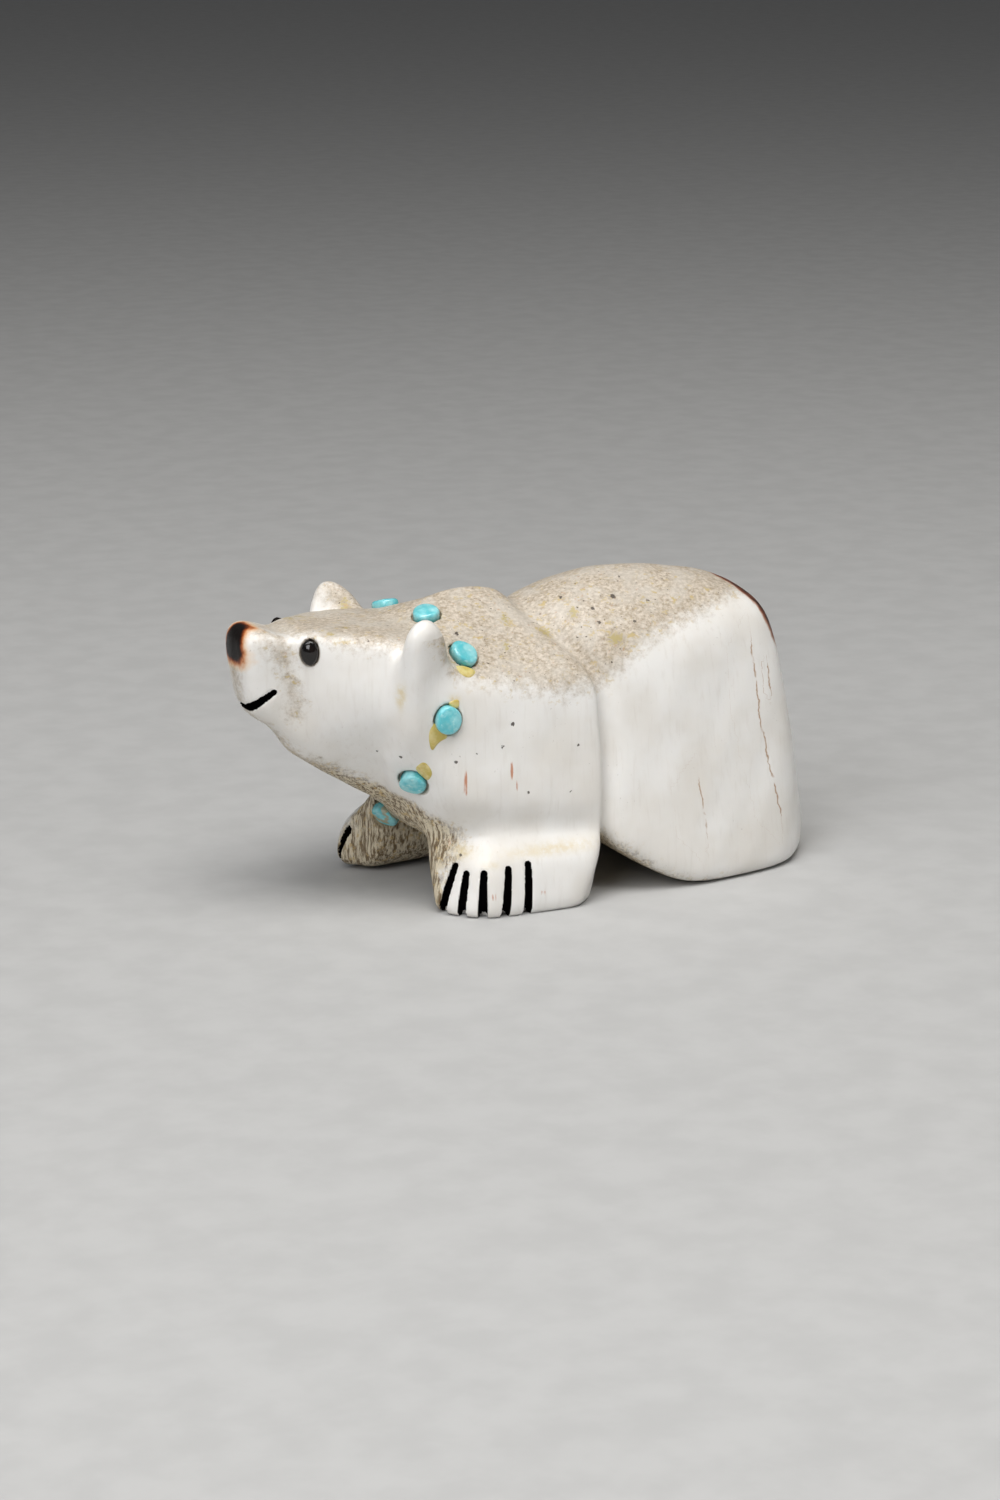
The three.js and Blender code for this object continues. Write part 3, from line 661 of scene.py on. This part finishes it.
OCHRE = [
    (-32.4, 4.5, 44.7, 1.0, 1.6, 2, 0.9), (-30.2, 5.3, 44.6, 0.8, 1.2, 2, 0.8),
    (-30.3, -7.1, 44.3, 0.7, 1.0, 2, 0.8), (-27.1, -5.1, 44.5, 0.9, 0.8, 2, 0.9),
    (-18.9, 13.6, 43.4, 1.1, 2.4, 1.5, 0.9), (-0.7, -7.5, 43.6, 1.1, 1.6, 2, 0.8),
    (5.3, -9.1, 41.3, 1.5, 1.4, 2, 0.9), (10.4, -8.7, 43.9, 1.2, 1.4, 2, 0.8),
    (-2.8, -11.7, 40.6, 0.9, 1.2, 2, 0.7), (16, -12.9, 40, 1.8, 1.4, 1.4, 0.9),
    (13.8, -14.9, 34, 0.8, 1.4, 1.6, 0.7), (-14.9, -9.8, 11.9, 1.2, 1.2, 1.2, 0.9),
    (-14.6, -10.9, 9.7, 1.1, 1.1, 1.2, 0.9), (13.4, -15.4, 7.1, 2.0, 2.4, 0.9, 0.9),
]
# Hairline cracks in the left side of the rump, as runs of (x, z)
CRACKS = [
    [(41.2, 36), (41.6, 32.7), (41.7, 28.4), (41.8, 25), (42.6, 21.2), (43.2, 17.2)],
    [(43.5, 16.4), (44.6, 12.8), (45.4, 8.4)],
    [(28.9, 15.8), (29.5, 12.7), (29.7, 8)],
    [(44.4, 32.2), (44.6, 28.6)],
]
# Single dark pits and specks: place, then size in millimetres
SPECKS = [
    ((-21.3, -12.7, 25.2), 0.3), ((-23.7, -9.2, 25.6), 0.22), ((-4.5, -17.6, 29.6), 0.4),
    ((-6.3, -17.8, 26.2), 0.25), ((6.7, -18, 25.1), 0.22), ((-10.6, -17.6, 25.6), 0.2),
    ((-13.8, -17.1, 24.5), 0.22), ((-2.2, -18.3, 18.5), 0.2), ((5.1, -18.4, 17.8), 0.2),
    ((-12.2, -15.1, 8.9), 0.3), ((-10.3, -9.8, 43), 0.5), ((9.7, -5.6, 45.7), 0.34),
    ((13.8, -9, 44.4), 0.34), ((17.9, -7.9, 45.7), 0.55), ((14, -10.8, 42.5), 0.34),
    ((19.8, -11.5, 42.2), 0.3), ((23.6, -9, 44.7), 0.3), ((5.8, -6.4, 43.9), 0.3),
    ((28.2, -5.2, 46.9), 0.25), ((21, -4, 47.7), 0.3),
]
# The antler's outer skin lies behind this line of (x, z)
BARK_EDGE = [
    (39.4, 46.3), (40.4, 45.5), (41.3, 44.8), (42.2, 43.7), (44, 41.6), (45.2, 39.3), (46.1, 37.3),
    (46.3, 34.5), (47.5, 31),
]
# Half width of the scorched nose at each height
NOSE = [(38, 2), (40.4, 3), (42, 3), (43.6, 2.6), (45.5, 1.7), (46.4, 1.3)]


def ink_distance(p):
    least = np.full(len(p), 3.0)
    for cut in grooves:
        r, height = groove_distance(cut, p)
        here = np.where(height < cut["reach"], r * UNIT, 3.0)
        least = np.minimum(least, here)
    return least


def seat_distance(p):
    least = np.full(len(p), 3.0)
    for place, half_long, half_short, gap in STONES:
        r, height = stone_distance(place, half_long / UNIT, half_short / UNIT, p)
        least = np.minimum(least, np.where(np.abs(height) < 3, r * UNIT + BEAD_GAP - gap, 3.0))
    return least


# The scorched nose widens downwards and has a blunt lower end
def scorch_reach(p):
    x, y, z = p.T
    half, = between(z, NOSE)
    return -soft_top(soft_top(np.abs(y) - half, 40.3 - z, 2.0), (x + 41.7) * 0.8, 0.8) * UNIT


# The outer skin has an uneven lower end where the blade took it off
def bark_reach(p):
    x, y, z = p.T
    places, heights = zip(*BARK_EDGE)
    behind = x - np.interp(-z, [-h for h in heights], places)
    beside = np.abs(y) - 9.9 - 0.5 * np.sin(1.1 * z) * (y > -6)
    lower_end = 33 + 0.4 * np.abs(y + 2) + 1.1 * np.sin(0.9 * y) + 0.7 * np.sin(2.3 * y + 1)
    outside = soft_top(beside, (lower_end - z) * 0.45, 2.5)
    return np.clip(np.minimum(behind, -outside) * UNIT, -6, 6)


# Materials
def linear(hex_colour):
    channels = [int(hex_colour[n:n + 2], 16) / 255 for n in (1, 3, 5)]
    curve = [c / 12.92 if c <= 0.04045 else ((c + 0.055) / 1.055) ** 2.4 for c in channels]
    return (*curve, 1.0)


def add(tree, kind, settings=None, links=None):
    node = tree.nodes.new(kind)
    for name, amount in (settings or {}).items():
        if isinstance(name, int) or name in node.inputs:
            node.inputs[name].default_value = amount
        else:
            setattr(node, name, amount)
    for name, source in (links or {}).items():
        tree.links.new(source, node.inputs[name])
    return node


def new_material(name):
    material = bpy.data.materials.new(name)
    material.use_nodes = True
    tree = material.node_tree
    tree.nodes.clear()
    output = add(tree, "ShaderNodeOutputMaterial")
    coordinates = add(tree, "ShaderNodeTexCoord")
    place = coordinates.outputs["Object"]
    in_mm = add(tree, "ShaderNodeVectorMath", {"operation": "SCALE", "Scale": 1 / MM}, {0: place})
    return material, tree, output, in_mm.outputs[0]


def finish_material(tree, output, shader):
    tree.links.new(shader.outputs[0], output.inputs["Surface"])


def noise(tree, where, grain_mm, detail=3, stretch=(1, 1, 1), roughness=0.55):
    scaled = add(tree, "ShaderNodeVectorMath", {"operation": "MULTIPLY", 1: stretch}, {0: where})
    return add(
        tree, "ShaderNodeTexNoise",
        {"Scale": 1 / grain_mm, "Detail": detail, "Roughness": roughness}, {"Vector": scaled.outputs[0]},
    ).outputs["Fac"]


def ramp(tree, source, low_end, high_end, to_low=0.0, to_high=1.0, kind="SMOOTHSTEP"):
    ends = {"From Min": low_end, "From Max": high_end, "To Min": to_low, "To Max": to_high}
    settings = {"interpolation_type": kind, **ends}
    return add(tree, "ShaderNodeMapRange", settings, {"Value": source}).outputs["Result"]


def math_of(tree, operation, first, second):
    values = {n: v for n, v in enumerate((first, second)) if isinstance(v, (int, float))}
    links = {n: v for n, v in enumerate((first, second)) if not isinstance(v, (int, float))}
    return add(tree, "ShaderNodeMath", {"operation": operation, **values}, links).outputs[0]


def times(tree, first, second):
    return math_of(tree, "MULTIPLY", first, second)


def mixed_value(tree, amount, first, second):
    return add(tree, "ShaderNodeMix", {"data_type": "FLOAT", 3: second}, {0: amount, 2: first}).outputs[0]


def offset_by(tree, where, amount):
    moved = {"operation": "ADD", 1: (amount, amount * 0.7, -amount)}
    return add(tree, "ShaderNodeVectorMath", moved, {0: where}).outputs[0]


def mixed(tree, amount, first, second):
    settings = {"data_type": "RGBA"}
    links = {}
    for slot, v in ((0, amount), (6, first), (7, second)):
        if isinstance(v, str):
            settings[slot] = linear(v)
        elif isinstance(v, (int, float)):
            settings[slot] = v
        else:
            links[slot] = v
    return add(tree, "ShaderNodeMix", settings, links).outputs[2]


def mark(tree, name):
    return add(tree, "ShaderNodeAttribute", {"attribute_name": name}).outputs["Fac"]


# From the rim of the scorched nose inwards: where a tone starts and is full, how much, and the tone
SCORCH_TONES = [
    (-1.5, -0.6, 0.6, "#E9BF8C"), (-0.95, -0.35, 0.85, "#C8762F"), (-0.6, -0.12, 1, "#8A3F14"),
    (-0.32, 0.06, 1, "#2A120A"), (-0.08, 0.25, 1, "#0E0806"),
]


def polished_antler():
    material, tree, output, where = new_material("polished antler")
    marrow, ink, scorch, bark, crack, seat_edge = (
        mark(tree, name) for name in ("marrow_mm", "ink_mm", "scorch_mm", "bark_mm", "crack_mm", "seat_mm"))
    rust, amber, ochre_spot, brown_and_shade_low = (mark(tree, name) for name in ("rust", "amber", "ochre", "brown_and_shade_low"))

    # dense outer antler: warm white with clouds, a very fine upright grain and a few grey flecks
    clouds = noise(tree, where, 9, 3)
    grain = noise(tree, where, 0.5, 4, (1, 1, 0.1))
    dense = mixed(tree, ramp(tree, clouds, 0.35, 0.68), "#F0EEEA", "#E6E2DB")
    dense = mixed(tree, ramp(tree, grain, 0.50, 0.78, 0, 0.25), dense, "#D2CBC2")
    flecks = noise(tree, where, 0.26, 2, (1, 1, 0.55))
    fleck_field = noise(tree, where, 5.5, 2)
    sparse = times(tree, ramp(tree, flecks, 0.69, 0.77), ramp(tree, fleck_field, 0.50, 0.64))
    dense = mixed(tree, times(tree, sparse, 0.45), dense, "#86776A")

    # porous marrow: sandy tan with pale crumbs, ochre and rust grains and dark open pores; low down it is
    # browner and darker, partly the marrow's own colour and partly painted shade
    crumbs = noise(tree, where, 0.4, 5, (0.8, 1, 1), 0.72)
    patches = noise(tree, where, 3.4, 4)
    porous = mixed(tree, ramp(tree, crumbs, 0.30, 0.70), "#9F907A", "#DACFC0")
    porous = mixed(tree, ramp(tree, patches, 0.42, 0.62, 0, 0.5), porous, "#CDC7BD")
    ochre = noise(tree, offset_by(tree, where, 9), 0.8, 4, (0.8, 1, 1), 0.65)
    ochre_field = noise(tree, offset_by(tree, where, 77), 6, 2)
    ochre_mask = times(tree, ramp(tree, ochre, 0.58, 0.68), ramp(tree, ochre_field, 0.42, 0.62, 0.3, 0.9))
    flakes = math_of(tree, "ADD", ochre_spot, times(tree, math_of(tree, "SUBTRACT", crumbs, 0.5), 3.4))
    flakes = times(tree, ramp(tree, flakes, 0.45, 0.8, 0, 0.9), ramp(tree, ochre_spot, 0.05, 0.5))
    ochre_mask = math_of(tree, "MAXIMUM", ochre_mask, flakes)
    porous = mixed(tree, ochre_mask, porous, "#B0A069")
    rusty = noise(tree, offset_by(tree, where, 31), 0.5, 3)
    porous = mixed(tree, ramp(tree, rusty, 0.64, 0.72, 0, 0.55), porous, "#B98F6C")
    # low down and under the throat: browner, darker fibrous marrow, partly the marrow's own colour and partly
    # painted shade
    fibres = noise(tree, where, 0.34, 5, (1, 1, 0.16), 0.66)
    brown = mixed(tree, ramp(tree, fibres, 0.40, 0.58), "#745F42", "#DCD0B6")
    brown = mixed(tree, ramp(tree, ochre, 0.55, 0.66, 0, 0.6), brown, "#B8954E")
    porous = mixed(tree, brown_and_shade_low, porous, brown)
    pores = noise(tree, offset_by(tree, where, 57), 0.36, 3, (0.8, 1, 1.1), 0.6)
    pore_mask = ramp(tree, pores, 0.665, 0.72)
    crater = noise(tree, offset_by(tree, where, 93), 0.95, 2)
    pore_mask = math_of(tree, "MAXIMUM", pore_mask, ramp(tree, crater, 0.745, 0.765))

    edge_noise = noise(tree, where, 1.1, 7, (1, 1, 1), 0.78)
    reach = math_of(tree, "ADD", marrow, times(tree, math_of(tree, "SUBTRACT", edge_noise, 0.5), 6.5))
    marrow_mask = ramp(tree, reach, -1.4, 1.4)
    colour = mixed(tree, marrow_mask, dense, porous)
    spill = times(tree, ramp(tree, ochre, 0.58, 0.68), ramp(tree, marrow, -2.6, 0.2))
    colour = mixed(tree, times(tree, spill, 0.6), colour, "#C9B384")
    colour = mixed(tree, times(tree, pore_mask, ramp(tree, reach, -0.2, 1.0)), colour, "#4B3D30")

    # stains, cracks, single pits and the dark ring round each stone
    streaks = math_of(tree, "ADD", rust, times(tree, math_of(tree, "SUBTRACT", grain, 0.5), 3.0))
    streaks = times(tree, ramp(tree, streaks, 0.5, 1.0), ramp(tree, rust, 0.1, 0.35))
    colour = mixed(tree, times(tree, streaks, 0.8), colour, "#BE6A2C")
    colour = mixed(tree, times(tree, amber, ramp(tree, edge_noise, 0.30, 0.62)), colour, "#D9C592")
    wander = times(tree, math_of(tree, "SUBTRACT", noise(tree, where, 1.6, 3), 0.5), 1.1)
    offset = math_of(tree, "ABSOLUTE", math_of(tree, "ADD", crack, wander), 0)
    broken = ramp(tree, noise(tree, where, 2.0, 3), 0.36, 0.52)
    crack_mask = times(tree, ramp(tree, offset, 0.16, 0.04), broken)
    colour = mixed(tree, times(tree, crack_mask, 0.8), colour, "#A5794A")
    ragged = times(tree, math_of(tree, "SUBTRACT", noise(tree, where, 0.3, 3), 0.5), 0.75)
    pits = -9.0
    for place, size in SPECKS:
        to_spot = {"operation": "DISTANCE", 1: tuple(placed(place) / MM)}
        away = add(tree, "ShaderNodeVectorMath", to_spot, {0: where}).outputs["Value"]
        pits = math_of(tree, "MAXIMUM", pits, math_of(tree, "SUBTRACT", size * 0.62, away))
    pit_mask = ramp(tree, math_of(tree, "ADD", pits, ragged), -0.04, 0.06)
    colour = mixed(tree, times(tree, pit_mask, 0.9), colour, "#3F342B")
    colour = mixed(tree, times(tree, ramp(tree, seat_edge, 0.30, 0.12), 0.6), colour, "#8A7250")

    # the antler's outer skin at the back of the rump, and the scorched nose
    skin_noise = noise(tree, where, 1.2, 4, (1, 1, 0.35))
    skin = mixed(tree, ramp(tree, skin_noise, 0.38, 0.62), "#35180D", "#74391D")
    skin_reach = math_of(tree, "ADD", bark, times(tree, math_of(tree, "SUBTRACT", skin_noise, 0.5), 0.9))
    colour = mixed(tree, ramp(tree, skin_reach, -0.30, 0.15, 0, 0.85), colour, "#A9683E")
    colour = mixed(tree, ramp(tree, skin_reach, 0.0, 0.35), colour, skin)
    burn_noise = noise(tree, where, 0.8, 4)
    burn = math_of(tree, "ADD", scorch, times(tree, math_of(tree, "SUBTRACT", burn_noise, 0.5), 0.9))
    for start, end, amount, tone in SCORCH_TONES:
        colour = mixed(tree, ramp(tree, burn, start, end, 0, amount), colour, tone)

    # black in the cut lines
    ink_mask = ramp(tree, ink, 0.10, 0.03)
    colour = mixed(tree, ink_mask, colour, "#060505")

    polish = times(tree, math_of(tree, "SUBTRACT", 1.0, ink_mask), ramp(tree, burn, -0.6, 0.1, 1, 0.45))
    rough = ramp(tree, marrow_mask, 0, 1, 0.34, 0.55, "LINEAR")
    rough = mixed_value(tree, ink_mask, rough, 0.75)
    relief = times(tree, marrow_mask, math_of(tree, "SUBTRACT", crumbs, times(tree, pore_mask, 1.5)))
    relief = math_of(tree, "ADD", relief, times(tree, grain, 0.2))
    relief = math_of(tree, "SUBTRACT", relief, times(tree, pit_mask, 1.5))
    bump = add(tree, "ShaderNodeBump", {"Strength": 0.4, "Distance": 0.00014}, {"Height": relief})
    shader = add(
        tree, "ShaderNodeBsdfPrincipled",
        {"IOR": 1.54, "Subsurface Weight": 0.08, "Subsurface Radius": (1.0, 0.85, 0.7),
         "Subsurface Scale": 0.0008, "Coat Roughness": 0.16},
        {"Base Color": colour, "Roughness": rough, "Normal": bump.outputs["Normal"],
         "Coat Weight": times(tree, polish, 0.12), "Specular IOR Level": times(tree, polish, 0.5)},
    )
    finish_material(tree, output, shader)
    return material


def polished_turquoise():
    # opaque blue-green stone with a paler, chalky mottle and a wax-smooth polish
    material, tree, output, where = new_material("polished turquoise")
    mottle = noise(tree, where, 1.5, 4)
    chalk = noise(tree, offset_by(tree, where, 13), 0.8, 3)
    colour = mixed(tree, ramp(tree, mottle, 0.34, 0.66), "#58C2CC", "#98DDE2")
    colour = mixed(tree, ramp(tree, chalk, 0.56, 0.74, 0, 0.6), colour, "#C6F0EE")
    veins = noise(tree, offset_by(tree, where, 41), 1.2, 3)
    host_rock = times(tree, ramp(tree, veins, 0.50, 0.60), mark(tree, "matrix"))
    colour = mixed(tree, host_rock, colour, "#B9A883")
    bump = add(tree, "ShaderNodeBump", {"Strength": 0.15, "Distance": 0.00006}, {"Height": chalk})
    shader = add(
        tree, "ShaderNodeBsdfPrincipled",
        {"Roughness": 0.24, "IOR": 1.61, "Subsurface Weight": 0.05, "Subsurface Scale": 0.0006,
         "Coat Weight": 0.35, "Coat Roughness": 0.08},
        {"Base Color": colour, "Normal": bump.outputs["Normal"]},
    )
    finish_material(tree, output, shader)
    return material


def polished_jet():
    # black fossil wood with a glassy polish and a trace of brown where light grazes it
    material, tree, output, where = new_material("polished jet")
    streaks = noise(tree, where, 0.9, 3, (1, 1, 0.4))
    colour = mixed(tree, ramp(tree, streaks, 0.4, 0.7), "#090707", "#1A110D")
    shader = add(
        tree, "ShaderNodeBsdfPrincipled",
        {"Roughness": 0.13, "IOR": 1.52, "Coat Weight": 0.15, "Coat Roughness": 0.05},
        {"Base Color": colour},
    )
    finish_material(tree, output, shader)
    return material


def set_glue():
    # hardened yellow glue, a little cloudy, wiped flush beside the stones
    material, tree, output, where = new_material("set yellow glue")
    cloudy = noise(tree, where, 0.9, 3)
    colour = mixed(tree, ramp(tree, cloudy, 0.35, 0.65), "#C9B45F", "#DBCB8C")
    shader = add(
        tree, "ShaderNodeBsdfPrincipled",
        {"Roughness": 0.30, "IOR": 1.5, "Subsurface Weight": 0.15, "Subsurface Scale": 0.0006},
        {"Base Color": colour},
    )
    finish_material(tree, output, shader)
    return material


def pale_paper():
    # matt paper sweep that gives a soft, even ground
    material, tree, output, where = new_material("matt pale paper")
    fibres = noise(tree, where, 6, 3)
    colour = mixed(tree, ramp(tree, fibres, 0.3, 0.7), "#B4B4B3", "#BABAB9")
    shader = add(tree, "ShaderNodeBsdfPrincipled", {"Roughness": 0.85, "IOR": 1.4}, {"Base Color": colour})
    finish_material(tree, output, shader)
    return material


antler = polished_antler()
turquoise = polished_turquoise()
jet = polished_jet()
glue = set_glue()

# The body. One mark is full low down and under the throat, where the marrow is browner and darker: partly its
# own colour, partly painted shade.
body = mesh_object("carved_bear", placed(points), quads, antler)
marks = {
    "marrow_mm": marrow_reach(points[:, 0], points[:, 1], points[:, 2]),
    "ink_mm": ink_distance(points),
    "scorch_mm": scorch_reach(points),
    "bark_mm": bark_reach(points),
    "rust": blob_sum(points, RUST),
    "amber": blob_sum(points, AMBER),
    "ochre": blob_sum(points, OCHRE),
    "crack_mm": crack_offset(points),
    "seat_mm": seat_distance(points),
    # darker towards the bottom: browner marrow, with painted shade there as well
    "brown_and_shade_low": np.clip((22 + 4 * (points[:, 0] < -20) - points[:, 2]) / 6, 0, 1),
}
for name, amounts in marks.items():
    layer = body.data.attributes.new(name, "FLOAT", "POINT")
    layer.data.foreach_set("value", np.ascontiguousarray(amounts, dtype=np.float32))
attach(body, "root")
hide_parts("bear_body")


# The stones: turned rings from the hidden underside over the rounded edge to the domed top
def stone_mesh(place, long_way, short_way, depth, rise, edge, dome, outline):
    sides = 56
    rings = [(0.0, -depth), (0.92, -depth), (1.0, -depth + 0.08), (1.0, rise - edge)]
    for n in range(1, 8):
        t = math.pi / 2 * n / 7
        rings.append((1 - edge / (long_way / 2) * (1 - math.cos(t)), rise - edge * (1 - math.sin(t))))
    flat = rings[-1][0]
    for n in range(1, 7):
        share = 1 - n / 7
        rings.append((flat * share, rise + dome * (1 - share * share)))
    rings.append((0.0, rise + dome))
    coordinates = []
    faces = []
    for ring, (radius, height) in enumerate(rings):
        if radius == 0:
            coordinates.append((0, 0, height))
            continue
        for s in range(sides):
            angle = 2 * math.pi * s / sides
            r = radius * outline(angle)
            u = math.cos(angle) * long_way / 2 * r
            v = math.sin(angle) * short_way / 2 * r
            coordinates.append((u, v, height))
    starts = [0]
    for ring in range(1, len(rings)):
        starts.append(starts[-1] + (1 if rings[ring - 1][0] == 0 else sides))
    for ring in range(len(rings) - 1):
        a, b = starts[ring], starts[ring + 1]
        for s in range(sides):
            n = (s + 1) % sides
            if rings[ring][0] == 0:
                faces.append((a, b + n, b + s))
            elif rings[ring + 1][0] == 0:
                faces.append((a + s, a + n, b))
            else:
                faces.append((a + s, a + n, b + n, b + s))
    axes = np.stack([place["across"], place["up"], place["out"]])
    return placed(place["point"]) + np.array(coordinates) @ axes * MM, faces


def bead_outline(seed):
    numbers = np.random.default_rng(seed)
    terms = [(k, numbers.uniform(0.008, 0.035), numbers.uniform(0, 2 * math.pi)) for k in (2, 3, 4)]

    smallest = 1 - sum(size for _, size, _ in terms)

    def outline(angle):
        return smallest + sum(size * math.cos(k * angle + turn) for k, size, turn in terms)

    return outline


# The bead on the far leg shows some of the pale rock that the turquoise grew in
BEAD_SEED = 40
ROCKY_BEAD = 6
for n, place in enumerate(bead_seats, 1):
    outline = bead_outline(BEAD_SEED + n)
    coordinates, faces = stone_mesh(
        place, BEAD_LENGTH, BEAD_WIDTH, BEAD_DEPTH, BEAD_RISE, BEAD_EDGE, BEAD_DOME, outline)
    bead = mesh_object(f"turquoise_stone_{n:02d}", coordinates, faces, turquoise, 60)
    zone = bead.data.attributes.new("matrix", "FLOAT", "POINT")
    share = 0.8 if n == ROCKY_BEAD else 0.06
    zone.data.foreach_set("value", np.full(len(coordinates), share, np.float32))
    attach(bead, "root")
    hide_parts(f"turquoise_bead_{n:02d}")


def eye_outline(angle):
    # a little fuller at the top than at the bottom
    return 1 - 0.05 * (1 - math.sin(angle)) * abs(math.cos(angle))


for name, place in zip(("eye_left", "eye_right"), eye_seats):
    coordinates, faces = stone_mesh(
        place, EYE_WIDTH, EYE_HEIGHT, EYE_DEPTH, EYE_RISE, EYE_EDGE, EYE_DOME, eye_outline)
    eye = mesh_object(f"jet_{name}", coordinates, faces, jet, 60)
    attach(eye, "root")
    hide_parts(name)


# Glue pressed out beside some of the beads, as thin closed skins on the surface
GLUE_RINGS = [(0.96, -0.25), (1.0, -0.02), (0.9, 0.05), (0.66, 0.08), (0.34, 0.09)]
GLUE_ENDS = [-0.25, 0.09]


def lying_on(p, lift):
    for _ in range(4):
        g = slope(filed, p)
        p = p - g * (filed(p) / np.maximum((g * g).sum(-1), 0.1))[:, None]
    g = slope(filed, p)
    return p + g / np.linalg.norm(g, axis=-1, keepdims=True) * lift / UNIT


def glue_skin(name, corners):
    rim = np.array(corners, float)
    for _ in range(3):
        ahead = np.roll(rim, -1, 0)
        rim = np.stack([rim * 0.78 + ahead * 0.22, rim * 0.22 + ahead * 0.78], 1).reshape(-1, 3)
    centre = rim.mean(0)
    count = len(rim)
    shells = []
    for share, lift in GLUE_RINGS:
        shells.append(lying_on(centre + (rim - centre) * share, lift))
    ends = [lying_on(centre[None], lift) for lift in GLUE_ENDS]
    coordinates = np.concatenate(shells + ends)
    turn = np.cross(rim[1] - rim[0], centre - rim[0]) @ outward(centre)
    faces = []
    for ring in range(len(shells) - 1):
        for n in range(count):
            m = (n + 1) % count
            faces.append((ring * count + n, ring * count + m, (ring + 1) * count + m, (ring + 1) * count + n))
    for n in range(count):
        m = (n + 1) % count
        faces.append((m, n, len(coordinates) - 2))
        faces.append(((len(shells) - 1) * count + n, (len(shells) - 1) * count + m, len(coordinates) - 1))
    if turn < 0:
        faces = [face[::-1] for face in faces]
    piece = mesh_object(name, placed(coordinates), faces, glue, 60)
    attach(piece, "root")


GLUE_BY_BEADS = {
    "glue_under_bead_03": [
        (-13.2, -15, 39.4), (-12.6, -15.9, 38), (-11, -16.2, 37.2), (-9.4, -15.4, 38.2), (-11.2, -15, 39.2)],
    "glue_under_bead_04": [
        (-17.3, -16.9, 31.4), (-18.4, -16.3, 29.6), (-17.6, -15.9, 25.9), (-16.6, -16.6, 27.8),
        (-14.9, -17.1, 28.6)],
    "glue_over_bead_04": [
        (-15.3, -17.1, 34.2), (-13.3, -17.2, 34.6), (-13.4, -17.2, 33), (-14.6, -17.1, 33.2)],
    "glue_over_bead_05": [
        (-19.6, -13.2, 22.8), (-18.4, -14.9, 24.9), (-16.9, -15.2, 22.6), (-17.2, -13.6, 20.8)],
}
for name, corners in GLUE_BY_BEADS.items():
    glue_skin(name, corners)

# Floor, lights and camera
floor_mesh = bpy.data.meshes.new("floor")
grid = bmesh.new()
bmesh.ops.create_grid(grid, x_segments=8, y_segments=8, size=4.0)
grid.to_mesh(floor_mesh)
grid.free()
floor_mesh.materials.append(pale_paper())
floor = bpy.data.objects.new("floor", floor_mesh)
bpy.context.scene.collection.objects.link(floor)

world = bpy.data.worlds.new("soft room")
world.use_nodes = True
world.node_tree.nodes["Background"].inputs["Color"].default_value = linear("#F1F2F4")
world.node_tree.nodes["Background"].inputs["Strength"].default_value = 0.11
bpy.context.scene.world = world
bpy.context.scene.view_settings.view_transform = "Standard"


def soft_light(name, place, aim, width, height, power, colour):
    data = bpy.data.lights.new(name, "AREA")
    data.shape = "RECTANGLE"
    data.size = width
    data.size_y = height
    data.energy = power
    data.color = linear(colour)[:3]
    light = bpy.data.objects.new(name, data)
    light.location = place
    light.rotation_euler = (Vector(aim) - Vector(place)).to_track_quat("-Z", "Y").to_euler()
    bpy.context.scene.collection.objects.link(light)


soft_light("key softbox", (-0.06, -0.20, 0.62), (0, 0, 0.015), 0.5, 0.4, 4.0, "#FFFDFA")
soft_light("left softbox", (-0.50, -0.34, 0.42), (0, 0, 0.02), 0.4, 0.4, 2.3, "#FBFCFF")
soft_light("right softbox", (0.42, -0.62, 0.34), (0, 0, 0.02), 0.4, 0.4, 0.35, "#FFFFFF")

# The camera stands where the photograph was taken from
TURN = math.radians(-26)
LIFT = math.radians(15)
AIM_HEIGHT = 17.0
AIM_TO_RIGHT = 1.2615
AIM_DOWN = 1.6168
DISTANCE = 430.0
CAMERA_UNIT = UNIT / 0.74
FOCAL_LENGTH_PX = 3642.1
PICTURE_HEIGHT_PX = 1500
SENSOR_HEIGHT = 36
back = np.array((math.sin(TURN) * math.cos(LIFT), -math.cos(TURN) * math.cos(LIFT), math.sin(LIFT)))
right = np.array((math.cos(TURN), math.sin(TURN), 0))
up = np.cross(back, right)
aim = np.array((0, 0, AIM_HEIGHT)) + AIM_TO_RIGHT * right - AIM_DOWN * up
spot = (aim + back * DISTANCE) * CAMERA_UNIT * MM + SHIFT
data = bpy.data.cameras.new("camera")
data.sensor_fit = "VERTICAL"
data.sensor_height = SENSOR_HEIGHT
data.sensor_width = 24
data.lens = FOCAL_LENGTH_PX / PICTURE_HEIGHT_PX * SENSOR_HEIGHT
data.clip_start = 0.01
data.clip_end = 50
camera = bpy.data.objects.new("camera", data)
camera.matrix_world = Matrix((
    (right[0], up[0], back[0], spot[0]),
    (right[1], up[1], back[1], spot[1]),
    (right[2], up[2], back[2], spot[2]),
    (0, 0, 0, 1),
))
bpy.context.scene.collection.objects.link(camera)
bpy.context.scene.camera = camera
